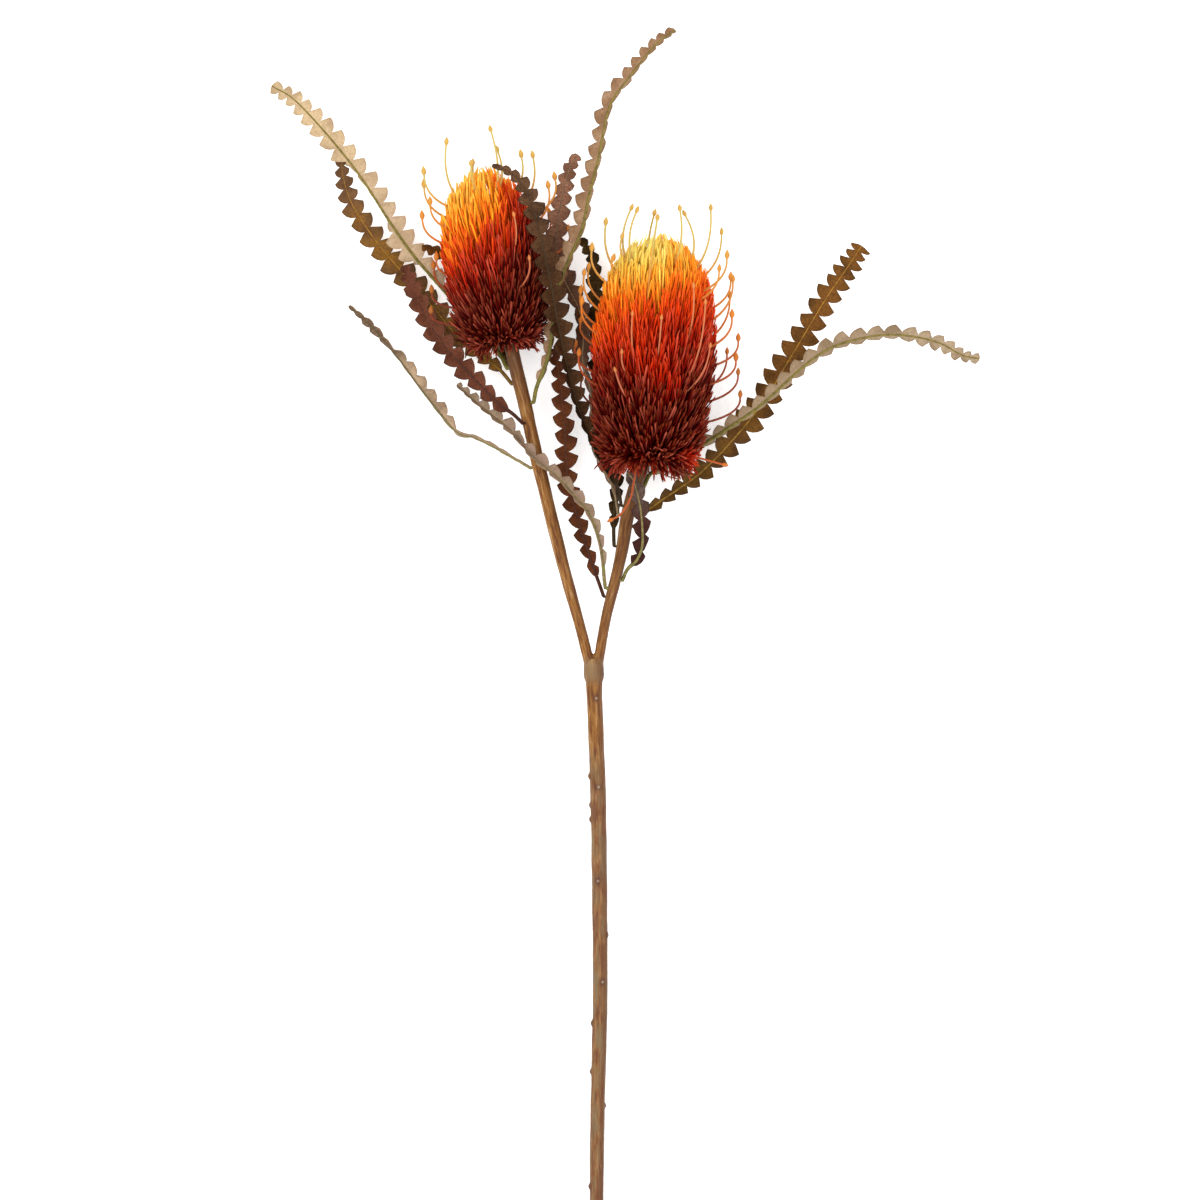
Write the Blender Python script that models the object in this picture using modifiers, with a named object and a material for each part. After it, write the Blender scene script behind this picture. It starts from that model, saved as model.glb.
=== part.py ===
"""A cut banksia stem that lies on a flat surface, with two flower heads and saw-toothed leaves.

Lengths and places are in millimetres, and MM turns them into metres. The stem runs along Y with its cut end
towards -Y, X is across it and Z is up from the surface. The origin is on the surface, under the middle of
the whole flower. Each head is a core with florets and long curved styles joined to it, and each leaf is a
thin blade with teeth along both edges and a thicker rib along its middle.
"""

import math
import random

import bpy
import bmesh
from mathutils import Vector
from mathutils.bvhtree import BVHTree

MM = 0.001

# Colours
BARK = (0.30, 0.17, 0.08)
PALE = (0.46, 0.33, 0.22)
BROWN = (0.12, 0.06, 0.035)
PURPLE = (0.11, 0.035, 0.025)
OLIVE = (0.15, 0.09, 0.04)
FLORET_RED = (0.42, 0.06, 0.02)
BARK_ROUGHNESS = 0.6
LEAF_ROUGHNESS = 0.7
FLORET_ROUGHNESS = 0.45

# Stem: where its middle runs, and its radius there
STEM_SIDES_SETTING = 3
MAIN_STEM = [
    ((-16, -327, 3.9), 3.8), ((-15.4, -270, 7.4), 4.0), ((-14, -205, 11.5), 4.1), ((-14.3, -150, 15.0), 4.3),
    ((-15, -95, 18.5), 4.4), ((-16.6, -50, 21.4), 4.3), ((-17.2, -36, 22.3), 4.5), ((-17.4, -24, 23.0), 5.0),
]
LEFT_BRANCH = [
    ((-18.6, -30, 22.6), 2.6), ((-20, -20, 23.2), 2.9), ((-26, 4, 24.0), 3.0), ((-35, 37, 24.4), 3.4),
    ((-48, 90, 24.8), 3.7), ((-55, 121, 25.0), 3.8), ((-60, 142, 25.2), 3.8), ((-63.3, 156.4, 25.4), 3.9),
]
RIGHT_BRANCH = [
    ((-16.2, -30, 22.6), 2.6), ((-15, -20, 23.3), 2.8), ((-11, 4, 24.9), 2.9), ((-3, 37, 27.0), 3.3),
    ((1, 61, 28.5), 3.7), ((5.4, 78, 29.6), 3.7), ((9.2, 87.5, 30.2), 3.7), ((9.5, 90.4, 30.35), 3.7),
]
# The thicker ring at the fork: its middle and its radius
FORK_RING = [
    ((-17.3, -29, 22.7), 5.3), ((-17.4, -26, 22.9), 5.8), ((-17.5, -20, 23.3), 5.5),
    ((-17.4, -17, 23.5), 4.6),
]
# Leaf scars on the main stem: distance along Y, and the angle round the stem from +X
LEAF_SCARS = [
    (-310, 175), (-246, 185), (-219, 170), (-106, 180), (-98, 195), (-82, 172), (-170, 20), (-265, 340),
]
SCAR_RADIUS = 2.2
SCAR_SINK = 0.55
WELD_DISTANCE = 0.001

# Leaves
RIB_THICKNESS = 1.7
EDGE_THICKNESS = 0.7
TOOTH_PITCH = 9.6
PETIOLE_LENGTH = 12
PETIOLE_HALF_WIDTH = 1.3
# A notch reaches in to this share of the half width, and a tooth's corner is this far along it
NOTCH_SHARE = 0.36
CORNER_SHARE = 0.58
LEAF_SEAT_GAP = 0.55
# Share of the leaf's length, and the blade's width there as a share of its full width
BLADE_WIDTHS = [
    (0.0, (0.3,)), (0.15, (0.55,)), (0.38, (0.92,)), (0.6, (1.0,)), (0.85, (0.84,)), (0.95, (0.6,)),
    (1.0, (0.42,)),
]
# Share of the leaf's length, and how far apart its teeth are there as a share of their widest pitch
PITCH_SHARES = [(0.0, (0.85,)), (0.3, (1.0,)), (0.78, (1.0,)), (0.9, (0.72,)), (1.0, (0.5,))]
# How far ahead and behind a leaf or branch is read for the way it runs, as a share of its length
RUN_REACH = 0.02

# Heads
CORE_SIDES = 14
# Rings of the core: share of the head's length, and the core's radius as a share of the head's there
CORE_FILL = [
    (0.0, (0.34,)), (0.05, (0.48,)), (0.12, (0.64,)), (0.3, (0.74,)), (0.5, (0.73,)), (0.66, (0.66,)),
    (0.78, (0.56,)), (0.86, (0.4,)),
]
# Share along the head, and how far a floret leans out from the head's axis there, in degrees
FLORET_LEANS = [
    (-0.06, (122,)), (0.0, (108,)), (0.08, (86,)), (0.2, (66,)), (0.45, (52,)), (0.7, (40,)), (0.9, (20,)),
    (1.0, (3,)),
]
LEAN_SPREAD = 6
FLORET_ROOT_DEPTH = 3.0
LONGEST_FLORET = 24.0
# How far a floret may stray round the head, in radians, and how far its tip may be from the outline
FLORET_TURN_SPREAD = 0.05
FLORET_TIP_SPREAD = (-1.5, 1.0)
LEAST_TIP_OUT = 0.5
LEAST_LEAN_SINE = 0.3
# What is left of a floret's length where a leaf is in its way, tried in this order
FLORET_SHORTENINGS = (1.0, 0.85, 0.7, 0.55)
OUTLINE_STEPS = 200
GOLDEN_ANGLE = math.pi * (3 - math.sqrt(5))
STYLE_RADIUS = 0.75
STYLE_ROOT_DEPTH = 2.0
STYLE_STEPS = 4
STYLE_CORNER_TURN = 0.5
HIGHEST_STYLE_ROOT = 0.82
# A style bends up this far along its way, and stands out this much further there
BEND_SHARE = 0.35
BEND_OUT = 1.5
# Turns round the head, in degrees, tried in this order until a style is clear of the leaves
STYLE_TURNS = (0, 6, -6, 12, -12, 18, -18, 25, -25)
KNOB_RADIUS = 1.7
KNOB_LENGTH = 5.5
KNOB_SURFACE_GAP = 0.1
# Where the knob's rings are, as shares of its length
KNOB_RINGS = (0.15, 0.55, 1.0)
CLEARANCE = 0.6
CLEAR_CHECKS = 12
CURVE_STEPS = 12

# The block that cuts the heads flat where they rest: its size, and where its middle is along Y
SURFACE_BLOCK = (500, 500, 30)
SURFACE_BLOCK_Y = 100


def clear_scene():
    for thing in list(bpy.data.objects):
        bpy.data.objects.remove(thing, do_unlink=True)


def new_collection(name, parent):
    collection = bpy.data.collections.new(name)
    parent.children.link(collection)
    return collection


def material(name, colour, roughness):
    made = bpy.data.materials.new(name)
    made.use_nodes = True
    shader = made.node_tree.nodes["Principled BSDF"]
    shader.inputs["Base Color"].default_value = (*colour, 1.0)
    shader.inputs["Roughness"].default_value = roughness
    shader.inputs["Metallic"].default_value = 0.0
    return made


def mesh_object(name, mesh, collection, finish=None):
    made = bpy.data.objects.new(name, mesh)
    collection.objects.link(made)
    if finish:
        mesh.materials.clear()
        mesh.materials.append(finish)
    return made


def smooth_points(route, count):
    """Points spaced evenly along a smooth curve through the route's own points."""
    knots = [Vector(place) for place in route]
    ends = [2 * knots[0] - knots[1]] + knots + [2 * knots[-1] - knots[-2]]
    fine = []
    for before, start, end, after in zip(ends, ends[1:], ends[2:], ends[3:]):
        for step in range(CURVE_STEPS):
            u = step / CURVE_STEPS
            straight = start * 2 + (end - before) * u
            bend = (before * 2 - start * 5 + end * 4 - after) * u**2
            twist = (start * 3 - before - end * 3 + after) * u**3
            fine.append((straight + bend + twist) / 2)
    fine.append(knots[-1])
    lengths = [0.0]
    for start, end in zip(fine, fine[1:]):
        lengths.append(lengths[-1] + (end - start).length)
    points = []
    place = 0
    for index in range(count):
        wanted = lengths[-1] * index / (count - 1)
        while place < len(fine) - 2 and lengths[place + 1] < wanted:
            place += 1
        share = (wanted - lengths[place]) / (lengths[place + 1] - lengths[place])
        points.append(fine[place].lerp(fine[place + 1], min(share, 1.0)))
    return points


def route_length(route):
    return sum((Vector(end) - Vector(start)).length for start, end in zip(route, route[1:]))


def between(pairs, share):
    """The value at a share of the way along a list of (share, values), read in straight lines."""
    for (start, low), (end, high) in zip(pairs, pairs[1:]):
        if share <= end:
            mix = (share - start) / (end - start)
            return [a + (b - a) * mix for a, b in zip(low, high)]
    return list(pairs[-1][1])


def tube(name, stations, collection):
    """A closed tube along places with a radius at each, as a mesh."""
    curve = bpy.data.curves.new(name, "CURVE")
    curve.dimensions = "3D"
    curve.bevel_depth = MM
    curve.bevel_resolution = STEM_SIDES_SETTING
    curve.use_fill_caps = True
    curve.render_resolution_u = 0
    spline = curve.splines.new("POLY")
    spline.points.add(len(stations) - 1)
    for point, (place, radius) in zip(spline.points, stations):
        point.co = (*[value * MM for value in place], 1.0)
        point.radius = radius
    guide = bpy.data.objects.new(name + "_curve", curve)
    collection.objects.link(guide)
    depsgraph = bpy.context.evaluated_depsgraph_get()
    mesh = bpy.data.meshes.new_from_object(guide.evaluated_get(depsgraph))
    bpy.data.objects.remove(guide, do_unlink=True)
    shape = bmesh.new()
    shape.from_mesh(mesh)
    bmesh.ops.remove_doubles(shape, verts=shape.verts, dist=WELD_DISTANCE * MM)
    bmesh.ops.recalc_face_normals(shape, faces=shape.faces)
    shape.to_mesh(mesh)
    shape.free()
    return mesh_object(name, mesh, collection)


def keep_main_body(mesh):
    """Leaves only the largest body of a mesh, so that loose scraps and sealed pockets go."""
    shape = bmesh.new()
    shape.from_mesh(mesh)
    unseen = set(shape.verts)
    bodies = []
    while unseen:
        body = {unseen.pop()}
        edge_of_body = list(body)
        while edge_of_body:
            vertex = edge_of_body.pop()
            found = {edge.other_vert(vertex) for edge in vertex.link_edges} - body
            body |= found
            edge_of_body.extend(found)
        unseen -= body
        bodies.append(body)
    main = max(bodies, key=len)
    spare = [vertex for vertex in shape.verts if vertex not in main]
    bmesh.ops.delete(shape, geom=spare, context="VERTS")
    shape.to_mesh(mesh)
    shape.free()


def join_pieces(base, pieces, finish, parent):
    """Joins a collection of closed pieces to the base object with one union, and removes the pieces."""
    union = base.modifiers.new("join", "BOOLEAN")
    union.operation = "UNION"
    union.operand_type = "COLLECTION"
    union.collection = pieces
    union.solver = "MANIFOLD"
    name = base.name
    depsgraph = bpy.context.evaluated_depsgraph_get()
    mesh = bpy.data.meshes.new_from_object(base.evaluated_get(depsgraph))
    for piece in list(pieces.objects):
        bpy.data.objects.remove(piece, do_unlink=True)
    bpy.data.collections.remove(pieces)
    bpy.data.objects.remove(base, do_unlink=True)
    keep_main_body(mesh)
    mesh.materials.clear()
    mesh.materials.append(finish)
    mesh.name = name
    joined = bpy.data.objects.new(name, mesh)
    parent.objects.link(joined)
    return joined


def stem_place(stations, share):
    """The middle and the radius of a branch at a share of its length, read along Y."""
    start, end = stations[0][0][1], stations[-1][0][1]
    wanted = start + (end - start) * share
    for (low, low_radius), (high, high_radius) in zip(stations, stations[1:]):
        if wanted <= high[1]:
            mix = (wanted - low[1]) / (high[1] - low[1])
            return Vector(low).lerp(Vector(high), mix), low_radius + (high_radius - low_radius) * mix
    return Vector(stations[-1][0]), stations[-1][1]


def build_stem(parent):
    pieces = new_collection("stem_pieces", parent)
    main = tube("stem", MAIN_STEM, parent)
    tube("left_branch", LEFT_BRANCH, pieces)
    tube("right_branch", RIGHT_BRANCH, pieces)
    tube("fork_ring", FORK_RING, pieces)
    for along, around in LEAF_SCARS:
        start, end = MAIN_STEM[0][0][1], MAIN_STEM[-1][0][1]
        middle, radius = stem_place(MAIN_STEM, (along - start) / (end - start))
        angle = math.radians(around)
        outward = Vector((math.cos(angle), 0, math.sin(angle)))
        scar = bmesh.new()
        bmesh.ops.create_icosphere(scar, subdivisions=1, radius=SCAR_RADIUS * MM)
        bmesh.ops.translate(
            scar, verts=scar.verts, vec=(middle + outward * (radius - SCAR_RADIUS * SCAR_SINK)) * MM)
        mesh = bpy.data.meshes.new("scar")
        scar.to_mesh(mesh)
        scar.free()
        mesh_object("scar", mesh, pieces)
    return join_pieces(main, pieces, material("bark", BARK, BARK_ROUGHNESS), parent)


def seat(stations, along_y, around):
    """Where a leaf's base sits beside a branch, from its distance along Y and the angle from its right."""
    start, end = stations[0][0][1], stations[-1][0][1]
    share = (along_y - start) / (end - start)
    middle, radius = stem_place(stations, share)
    ahead, _ = stem_place(stations, min(share + RUN_REACH, 1.0))
    behind, _ = stem_place(stations, share - RUN_REACH)
    run = (ahead - behind).normalized()
    right = run.cross(Vector((0, 0, 1))).normalized()
    up = right.cross(run)
    angle = math.radians(around)
    outward = right * math.cos(angle) + up * math.sin(angle)
    return middle + outward * (radius + LEAF_SEAT_GAP + RIB_THICKNESS / 2)


def blade_width(share):
    """How wide the blade is, as a share of its full width, from its base to its tip."""
    return between(BLADE_WIDTHS, share)[0]


def side_ways(run, right_lift, left_lift):
    """The two ways from the rib to the blade's right and left edges, lifted by so many degrees."""
    right = run.cross(Vector((0, 0, 1))).normalized()
    up = right.cross(run)
    right_lift, left_lift = math.radians(right_lift), math.radians(left_lift)
    to_right = right * math.cos(right_lift) + up * math.sin(right_lift)
    to_left = up * math.sin(left_lift) - right * math.cos(left_lift)
    return to_right, to_left


def notch_marks(length):
    """Shares of a leaf's length where one tooth ends and the next begins. They crowd towards the tip."""
    first = PETIOLE_LENGTH / length
    marks = [first]
    while marks[-1] < 1:
        marks.append(marks[-1] + TOOTH_PITCH * between(PITCH_SHARES, marks[-1])[0] / length)
    stretch = (1 - first) / (marks[-1] - first)
    return [0.0] + [first + (mark - first) * stretch for mark in marks]


def build_leaf(name, base, route, half_width, lifts, colour, parent):
    """A leaf along a route from its seat on a branch. Lifts are (share, (right, left)) in degrees."""
    route = [base] + [Vector(place) for place in route]
    length = route_length(route)
    samples = round(length)
    path = smooth_points(route, samples + 1)

    def on_path(share):
        at = share * samples
        index = min(int(at), samples - 1)
        return path[index].lerp(path[index + 1], at - index)

    def frame(share):
        low, high = max(share - RUN_REACH, 0.0), min(share + RUN_REACH, 1.0)
        run = (on_path(high) - on_path(low)).normalized()
        return side_ways(run, *between(lifts, share))

    marks = notch_marks(length)
    sheet = bmesh.new()
    rib = [sheet.verts.new(on_path(share) * MM) for share in marks]
    for side in (0, 1):
        notches = []
        for share in marks[:-1]:
            out = PETIOLE_HALF_WIDTH if share == 0.0 else max(
                PETIOLE_HALF_WIDTH, half_width * NOTCH_SHARE * blade_width(share))
            notches.append(sheet.verts.new((on_path(share) + frame(share)[side] * out) * MM))
        notches.append(rib[-1])
        for index in range(len(marks) - 1):
            corners = [rib[index], notches[index], rib[index + 1]]
            sheet.faces.new(corners if side == 0 else corners[::-1])
            if notches[index + 1] is not rib[-1]:
                corners = [notches[index], notches[index + 1], rib[index + 1]]
                sheet.faces.new(corners if side == 0 else corners[::-1])
            if index == 0:
                continue
            share = marks[index] + (marks[index + 1] - marks[index]) * CORNER_SHARE
            out = half_width * blade_width(share)
            corner = sheet.verts.new((on_path(share) + frame(share)[side] * out) * MM)
            corners = [notches[index], corner, notches[index + 1]]
            sheet.faces.new(corners if side == 0 else corners[::-1])
    mesh = bpy.data.meshes.new(name)
    rib_indices = range(len(rib))
    sheet.to_mesh(mesh)
    sheet.free()
    leaf = mesh_object(name, mesh, parent, material(name, colour, LEAF_ROUGHNESS))
    group = leaf.vertex_groups.new(name="rib")
    group.add(list(rib_indices), 1.0, "REPLACE")
    thick = leaf.modifiers.new("thickness", "SOLIDIFY")
    thick.thickness = RIB_THICKNESS * MM
    thick.offset = 0.0
    thick.vertex_group = "rib"
    thick.thickness_vertex_group = EDGE_THICKNESS / RIB_THICKNESS
    return leaf


def build_leaves(parent):
    left, right = LEFT_BRANCH, RIGHT_BRANCH
    return [
        build_leaf(
            "leaf_far_left", seat(left, 144, 195),
            [(-70, 152, 16), (-79, 163, 9), (-89, 173, 10), (-99, 185, 12), (-107, 194, 14),
             (-119, 208, 18), (-130, 224, 22), (-150, 254, 30), (-179, 287, 38), (-194, 297, 40)],
            8.8, [(0, (10, -40)), (0.3, (5, -85)), (0.38, (5, -85)), (0.42, (5, -5)), (0.47, (5, -5)),
                  (0.52, (5, -85)), (0.7, (8, -80)), (0.78, (10, 10)), (1, (10, 10))], PALE, parent),
        build_leaf(
            "leaf_left_brown", seat(left, 135, 215),
            [(-69, 142, 16), (-77, 149, 10), (-87, 156, 6), (-97, 166, 4.5), (-105.5, 176.5, 4.5),
             (-115, 187.5, 5), (-125, 198.5, 7), (-135, 210, 10), (-144.5, 223, 13), (-151.5, 235, 16),
             (-155.5, 247, 19), (-157, 259, 22)],
            8.6, [(0, (15, 15)), (0.5, (10, 10)), (1, (20, 25))], OLIVE, parent),
        build_leaf(
            "leaf_left_purple", seat(left, 113, 130),
            [(-62, 117.5, 32), (-68, 121.5, 33.5), (-75, 128, 33.5), (-89, 143, 30), (-102, 158, 25),
             (-113, 177, 20), (-122, 200, 16)],
            7.6, [(0, (15, 15)), (0.5, (5, 20)), (1, (25, 15))], PURPLE, parent),
        build_leaf(
            "leaf_left_twisted", seat(left, 89, 200),
            [(-69, 98, 20), (-83, 105, 18), (-94, 109, 17), (-110, 128, 20), (-124, 147, 24), (-138, 164, 28),
             (-152, 177, 31)],
            6.0, [(0, (70, -70)), (0.34, (75, -75)), (0.42, (12, -80)), (0.68, (15, -80)),
                  (0.76, (70, -75)), (0.86, (55, -50)), (1, (55, -50))], PALE, parent),
        build_leaf(
            "leaf_left_crossing", seat(right, 21, 165),
            [(-14, 45, 31), (-20, 62, 33), (-28, 72, 34), (-37, 82, 34), (-44, 88, 33), (-51, 94, 31),
             (-58, 102, 28.5), (-65, 110, 25), (-80, 122, 22), (-93, 134, 20)],
            6.8, [(0, (50, 80)), (0.2, (35, 80)), (0.45, (30, 80)), (0.62, (45, 80)), (0.68, (55, 80)),
                  (0.76, (5, 80)), (0.85, (10, 80)), (1, (40, 70))], PALE, parent),
        build_leaf(
            "leaf_middle_dark", seat(right, 16, 205),
            [(-20, 40, 22), (-26, 59, 19), (-32, 81, 17), (-33, 103, 16), (-35, 125, 16), (-37, 142, 17),
             (-40, 154, 18)],
            6.8, [(0, (20, 20)), (0.5, (10, 10)), (1, (15, 15))], PURPLE, parent),
        build_leaf(
            "leaf_centre_wide", seat(right, 66, 165),
            [(-4.5, 77, 28.5), (-12, 90, 25.5), (-17, 99, 25), (-23, 113, 27), (-27, 123, 31), (-33, 146, 38),
             (-38, 172, 43), (-42, 193, 46), (-48, 219, 49), (-52, 232, 50), (-57, 243, 49), (-65, 250, 47),
             (-73, 253, 44)],
            8.6, [(0, (20, 60)), (0.2, (5, 75)), (0.42, (8, 75)), (0.55, (8, 38)), (0.85, (8, 28)),
                  (1, (15, 25))], BROWN, parent),
        build_leaf(
            "leaf_top", seat(left, 123, 10),
            [(-49, 132, 27), (-45, 142, 28), (-42, 152, 29), (-40, 168, 30), (-39, 180, 30), (-35, 193, 30),
             (-31, 203, 31), (-24, 219, 33), (-20, 238, 36), (-15, 257, 40), (-9, 285, 45), (2, 301, 49),
             (16, 318, 53), (27, 326, 56)],
            7.4, [(0, (-60, 10)), (0.3, (-75, 8)), (1, (-70, 10))], PALE, parent),
        build_leaf(
            "leaf_middle_tall", seat(right, 61, 190),
            [(-6.5, 77, 21), (-13, 89, 15.5), (-17, 99, 14), (-18.4, 111, 13), (-18.4, 125, 12),
             (-19.5, 134, 12), (-22, 142, 12), (-23.4, 150, 12), (-23.4, 161, 12.5), (-26, 176, 13),
             (-30, 184, 13.5), (-34, 193, 15), (-38, 210, 17), (-36, 232, 22), (-31, 252, 28),
             (-26, 260, 31)],
            7.6, [(0, (60, -60)), (0.42, (75, -75)), (0.5, (10, 60)), (0.62, (10, 70)), (0.7, (10, 10)),
                  (1, (10, 15))], OLIVE, parent),
        build_leaf(
            "leaf_behind_large", seat(right, 44, 200),
            [(-6.5, 54, 20), (-6, 67, 14), (-5, 77, 9), (-6, 92, 4.5), (-11, 125, 3.5), (-15, 153, 4),
             (-16, 180, 8), (-18, 204, 16), (-22, 210, 19), (-24, 215, 22)],
            6.6, [(0, (25, 25)), (0.3, (6, 6)), (0.7, (5, 15)), (1, (30, 20))], OLIVE, parent),
        build_leaf(
            "leaf_curled", seat(right, 27, 30),
            [(1, 32, 33), (6, 37, 35), (9, 45, 37), (9, 56, 39), (8, 66, 40), (6, 75, 40), (4, 81, 41),
             (1, 85, 43)],
            6.0, [(0, (35, 35)), (0.35, (-60, 15)), (0.6, (-20, 10)), (1, (5, 5))], PURPLE, parent),
        build_leaf(
            "leaf_right_golden", seat(right, 56, -10),
            [(11, 63, 28), (17, 68, 26), (30, 77, 20), (42, 86, 15), (57, 101, 11.5), (75, 123, 10.5),
             (93, 152, 13.5), (111, 182, 20), (120, 195, 24.5), (130, 210, 30)],
            9.5, [(0, (50, 50)), (0.2, (15, 15)), (0.4, (8, 8)), (1, (12, 12))], OLIVE, parent),
        build_leaf(
            "leaf_right_arched", seat(right, 79, -25),
            [(13.5, 84.5, 23), (20, 88, 16), (29, 93.5, 10.5), (44, 102, 13), (58, 111, 21.5), (75, 123, 26),
             (97, 143, 28), (111, 153, 29), (125, 158, 31), (142, 161, 32), (159, 160, 31), (174, 156, 30),
             (185, 150, 28), (195, 148, 26)],
            7.0, [(0, (-30, 30)), (0.3, (-70, 25)), (0.8, (-60, 25)), (0.92, (-20, 18)),
                  (1, (-10, 15))], PALE, parent),
        build_leaf(
            "leaf_behind_small", seat(left, 139, 250),
            [(-67, 150, 13), (-74, 164, 5.5), (-80, 177, 4), (-85.5, 189, 4.5), (-91.5, 199, 7.5),
             (-99.5, 206.5, 14), (-112, 210.5, 25)],
            6.5, [(0, (5, 5)), (0.6, (10, 10)), (1, (70, 12))], OLIVE, parent),
    ]


def obstacles(objects):
    """One search tree over finished pieces, in metres."""
    depsgraph = bpy.context.evaluated_depsgraph_get()
    places, polygons = [], []
    for thing in objects:
        mesh = thing.evaluated_get(depsgraph).to_mesh()
        first = len(places)
        places.extend(thing.matrix_world @ vertex.co for vertex in mesh.vertices)
        polygons.extend([first + index for index in polygon.vertices] for polygon in mesh.polygons)
        thing.evaluated_get(depsgraph).to_mesh_clear()
    return BVHTree.FromPolygons(places, polygons)


def is_clear(tree, path, radii):
    """Whether a tapering piece along a path stays clear of the finished pieces."""
    for start, end, start_radius, end_radius in zip(path, path[1:], radii, radii[1:]):
        for check in range(CLEAR_CHECKS + 1):
            part = check / CLEAR_CHECKS
            reach = start_radius + (end_radius - start_radius) * part + CLEARANCE
            if tree.find_nearest(start.lerp(end, part) * MM)[3] < reach * MM:
                return False
    return True


class Head:
    """A flower head's axis and outline. Shares run from its base, 0, to its tip, 1, and florets that
    droop below the base are at shares under 0."""

    def __init__(self, base, tip, outline, radius):
        self.base, self.tip = Vector(base), Vector(tip)
        self.outline, self.radius = outline, radius
        self.run = (self.tip - self.base).normalized()
        self.length = (self.tip - self.base).length
        self.right = self.run.cross(Vector((0, 0, 1))).normalized()
        self.up = self.right.cross(self.run)

    def outward(self, around):
        return self.right * math.cos(around) + self.up * math.sin(around)

    def body(self, share):
        return self.radius * between(self.outline, share)[0]

    def core(self, share):
        return self.body(share) * between(CORE_FILL, share)[0]

    def place(self, share, around, out):
        return self.base.lerp(self.tip, share) + self.outward(around) * out


def core_mesh(head, name, collection):
    """A turned core inside the florets, closed by flat ends."""
    profile = bmesh.new()
    rings = []
    for share, _ in CORE_FILL:
        out = head.core(share)
        rings.append([
            profile.verts.new(head.place(share, 2 * math.pi * side / CORE_SIDES, out) * MM)
            for side in range(CORE_SIDES)
        ])
    for low, high in zip(rings, rings[1:]):
        for side in range(CORE_SIDES):
            following = (side + 1) % CORE_SIDES
            profile.faces.new((low[side], high[side], high[following], low[following]))
    profile.faces.new(rings[0])
    profile.faces.new(rings[-1][::-1])
    bmesh.ops.recalc_face_normals(profile, faces=profile.faces)
    bmesh.ops.triangulate(profile, faces=profile.faces)
    mesh = bpy.data.meshes.new(name)
    profile.to_mesh(mesh)
    profile.free()
    return mesh_object(name, mesh, collection)


def three_sided(name, path, radii, turn, collection):
    """A closed three-sided solid along points. A radius of 0 at the last point gives it a pointed end."""
    solid = bmesh.new()
    rings = []
    across = None
    for index, (point, radius) in enumerate(zip(path, radii)):
        if radius == 0.0:
            rings.append([solid.verts.new(point * MM)])
            continue
        run = (path[min(index + 1, len(path) - 1)] - path[max(index - 1, 0)]).normalized()
        if across is None:
            across = run.orthogonal()
        across = (across - run * across.dot(run)).normalized()
        other = run.cross(across)
        corners = [turn + 2 * math.pi * corner / 3 for corner in range(3)]
        rings.append([
            solid.verts.new((point + (across * math.cos(angle) + other * math.sin(angle)) * radius) * MM)
            for angle in corners
        ])
    for low, high in zip(rings, rings[1:]):
        for corner in range(3):
            following = (corner + 1) % 3
            if len(high) == 1:
                solid.faces.new((low[corner], low[following], high[0]))
            else:
                solid.faces.new((low[corner], low[following], high[following]))
                solid.faces.new((low[corner], high[following], high[corner]))
    solid.faces.new(rings[0][::-1])
    if len(rings[-1]) == 3:
        solid.faces.new(rings[-1])
    mesh = bpy.data.meshes.new(name)
    solid.to_mesh(mesh)
    solid.free()
    return mesh_object(name, mesh, collection)


def add_florets(head, count, root_radius, seed, tree, collection):
    """Florets all over the head: their tips lie on its outline, and their roots in its core."""
    draw = random.Random(seed)
    lowest = head.outline[0][0]
    shares = [lowest + (1 - lowest) * step / OUTLINE_STEPS for step in range(OUTLINE_STEPS + 1)]
    areas = [0.0]
    for start, end in zip(shares, shares[1:]):
        low, high = head.body(start), head.body(end)
        areas.append(areas[-1] + (low + high) * math.hypot(head.length * (end - start), high - low))
    step = 0
    for index in range(count):
        wanted = areas[-1] * (index + 0.5) / count
        while areas[step + 1] < wanted:
            step += 1
        mix = (wanted - areas[step]) / (areas[step + 1] - areas[step])
        share = shares[step] + (shares[step + 1] - shares[step]) * mix
        around = index * GOLDEN_ANGLE + draw.uniform(-FLORET_TURN_SPREAD, FLORET_TURN_SPREAD)
        lean = math.radians(between(FLORET_LEANS, share)[0] + draw.uniform(-LEAN_SPREAD, LEAN_SPREAD))
        outward = head.outward(around)
        way = head.run * math.cos(lean) + outward * math.sin(lean)
        out = head.body(share) + draw.uniform(*FLORET_TIP_SPREAD)
        tip = head.place(share, around, max(out, LEAST_TIP_OUT))
        reach = FLORET_ROOT_DEPTH + out - head.core(share)
        length = min(reach / max(math.sin(lean), LEAST_LEAN_SINE), LONGEST_FLORET)
        root = tip - way * length
        for shorter in FLORET_SHORTENINGS:
            end = root.lerp(tip, shorter)
            if is_clear(tree, [root, end], [root_radius, 0.0]):
                turn = draw.uniform(0, math.pi)
                three_sided("floret", [root, end], [root_radius, 0.0], turn, collection)
                break


def style_path(head, around, root_share, knob_share, knob_out):
    """An arc that leaves the head sideways, bends up towards its tip and stays above the surface."""
    start_share = min(root_share, HIGHEST_STYLE_ROOT)
    root = head.place(start_share, around, head.core(start_share) - STYLE_ROOT_DEPTH)
    knob = head.place(knob_share, around, knob_out)
    bend_share = root_share + (knob_share - root_share) * BEND_SHARE
    bend = head.place(bend_share, around, max(knob_out, head.body(root_share)) + BEND_OUT)
    path = []
    for step in range(STYLE_STEPS + 1):
        u = step / STYLE_STEPS
        path.append(root * (1 - u)**2 + bend * 2 * u * (1 - u) + knob * u**2)
    finish = (path[-1] - path[-2]).normalized()
    path += [path[-1] + finish * KNOB_LENGTH * part for part in KNOB_RINGS]
    for point in path:
        point.z = max(point.z, KNOB_RADIUS + KNOB_SURFACE_GAP)
    return path


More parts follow.
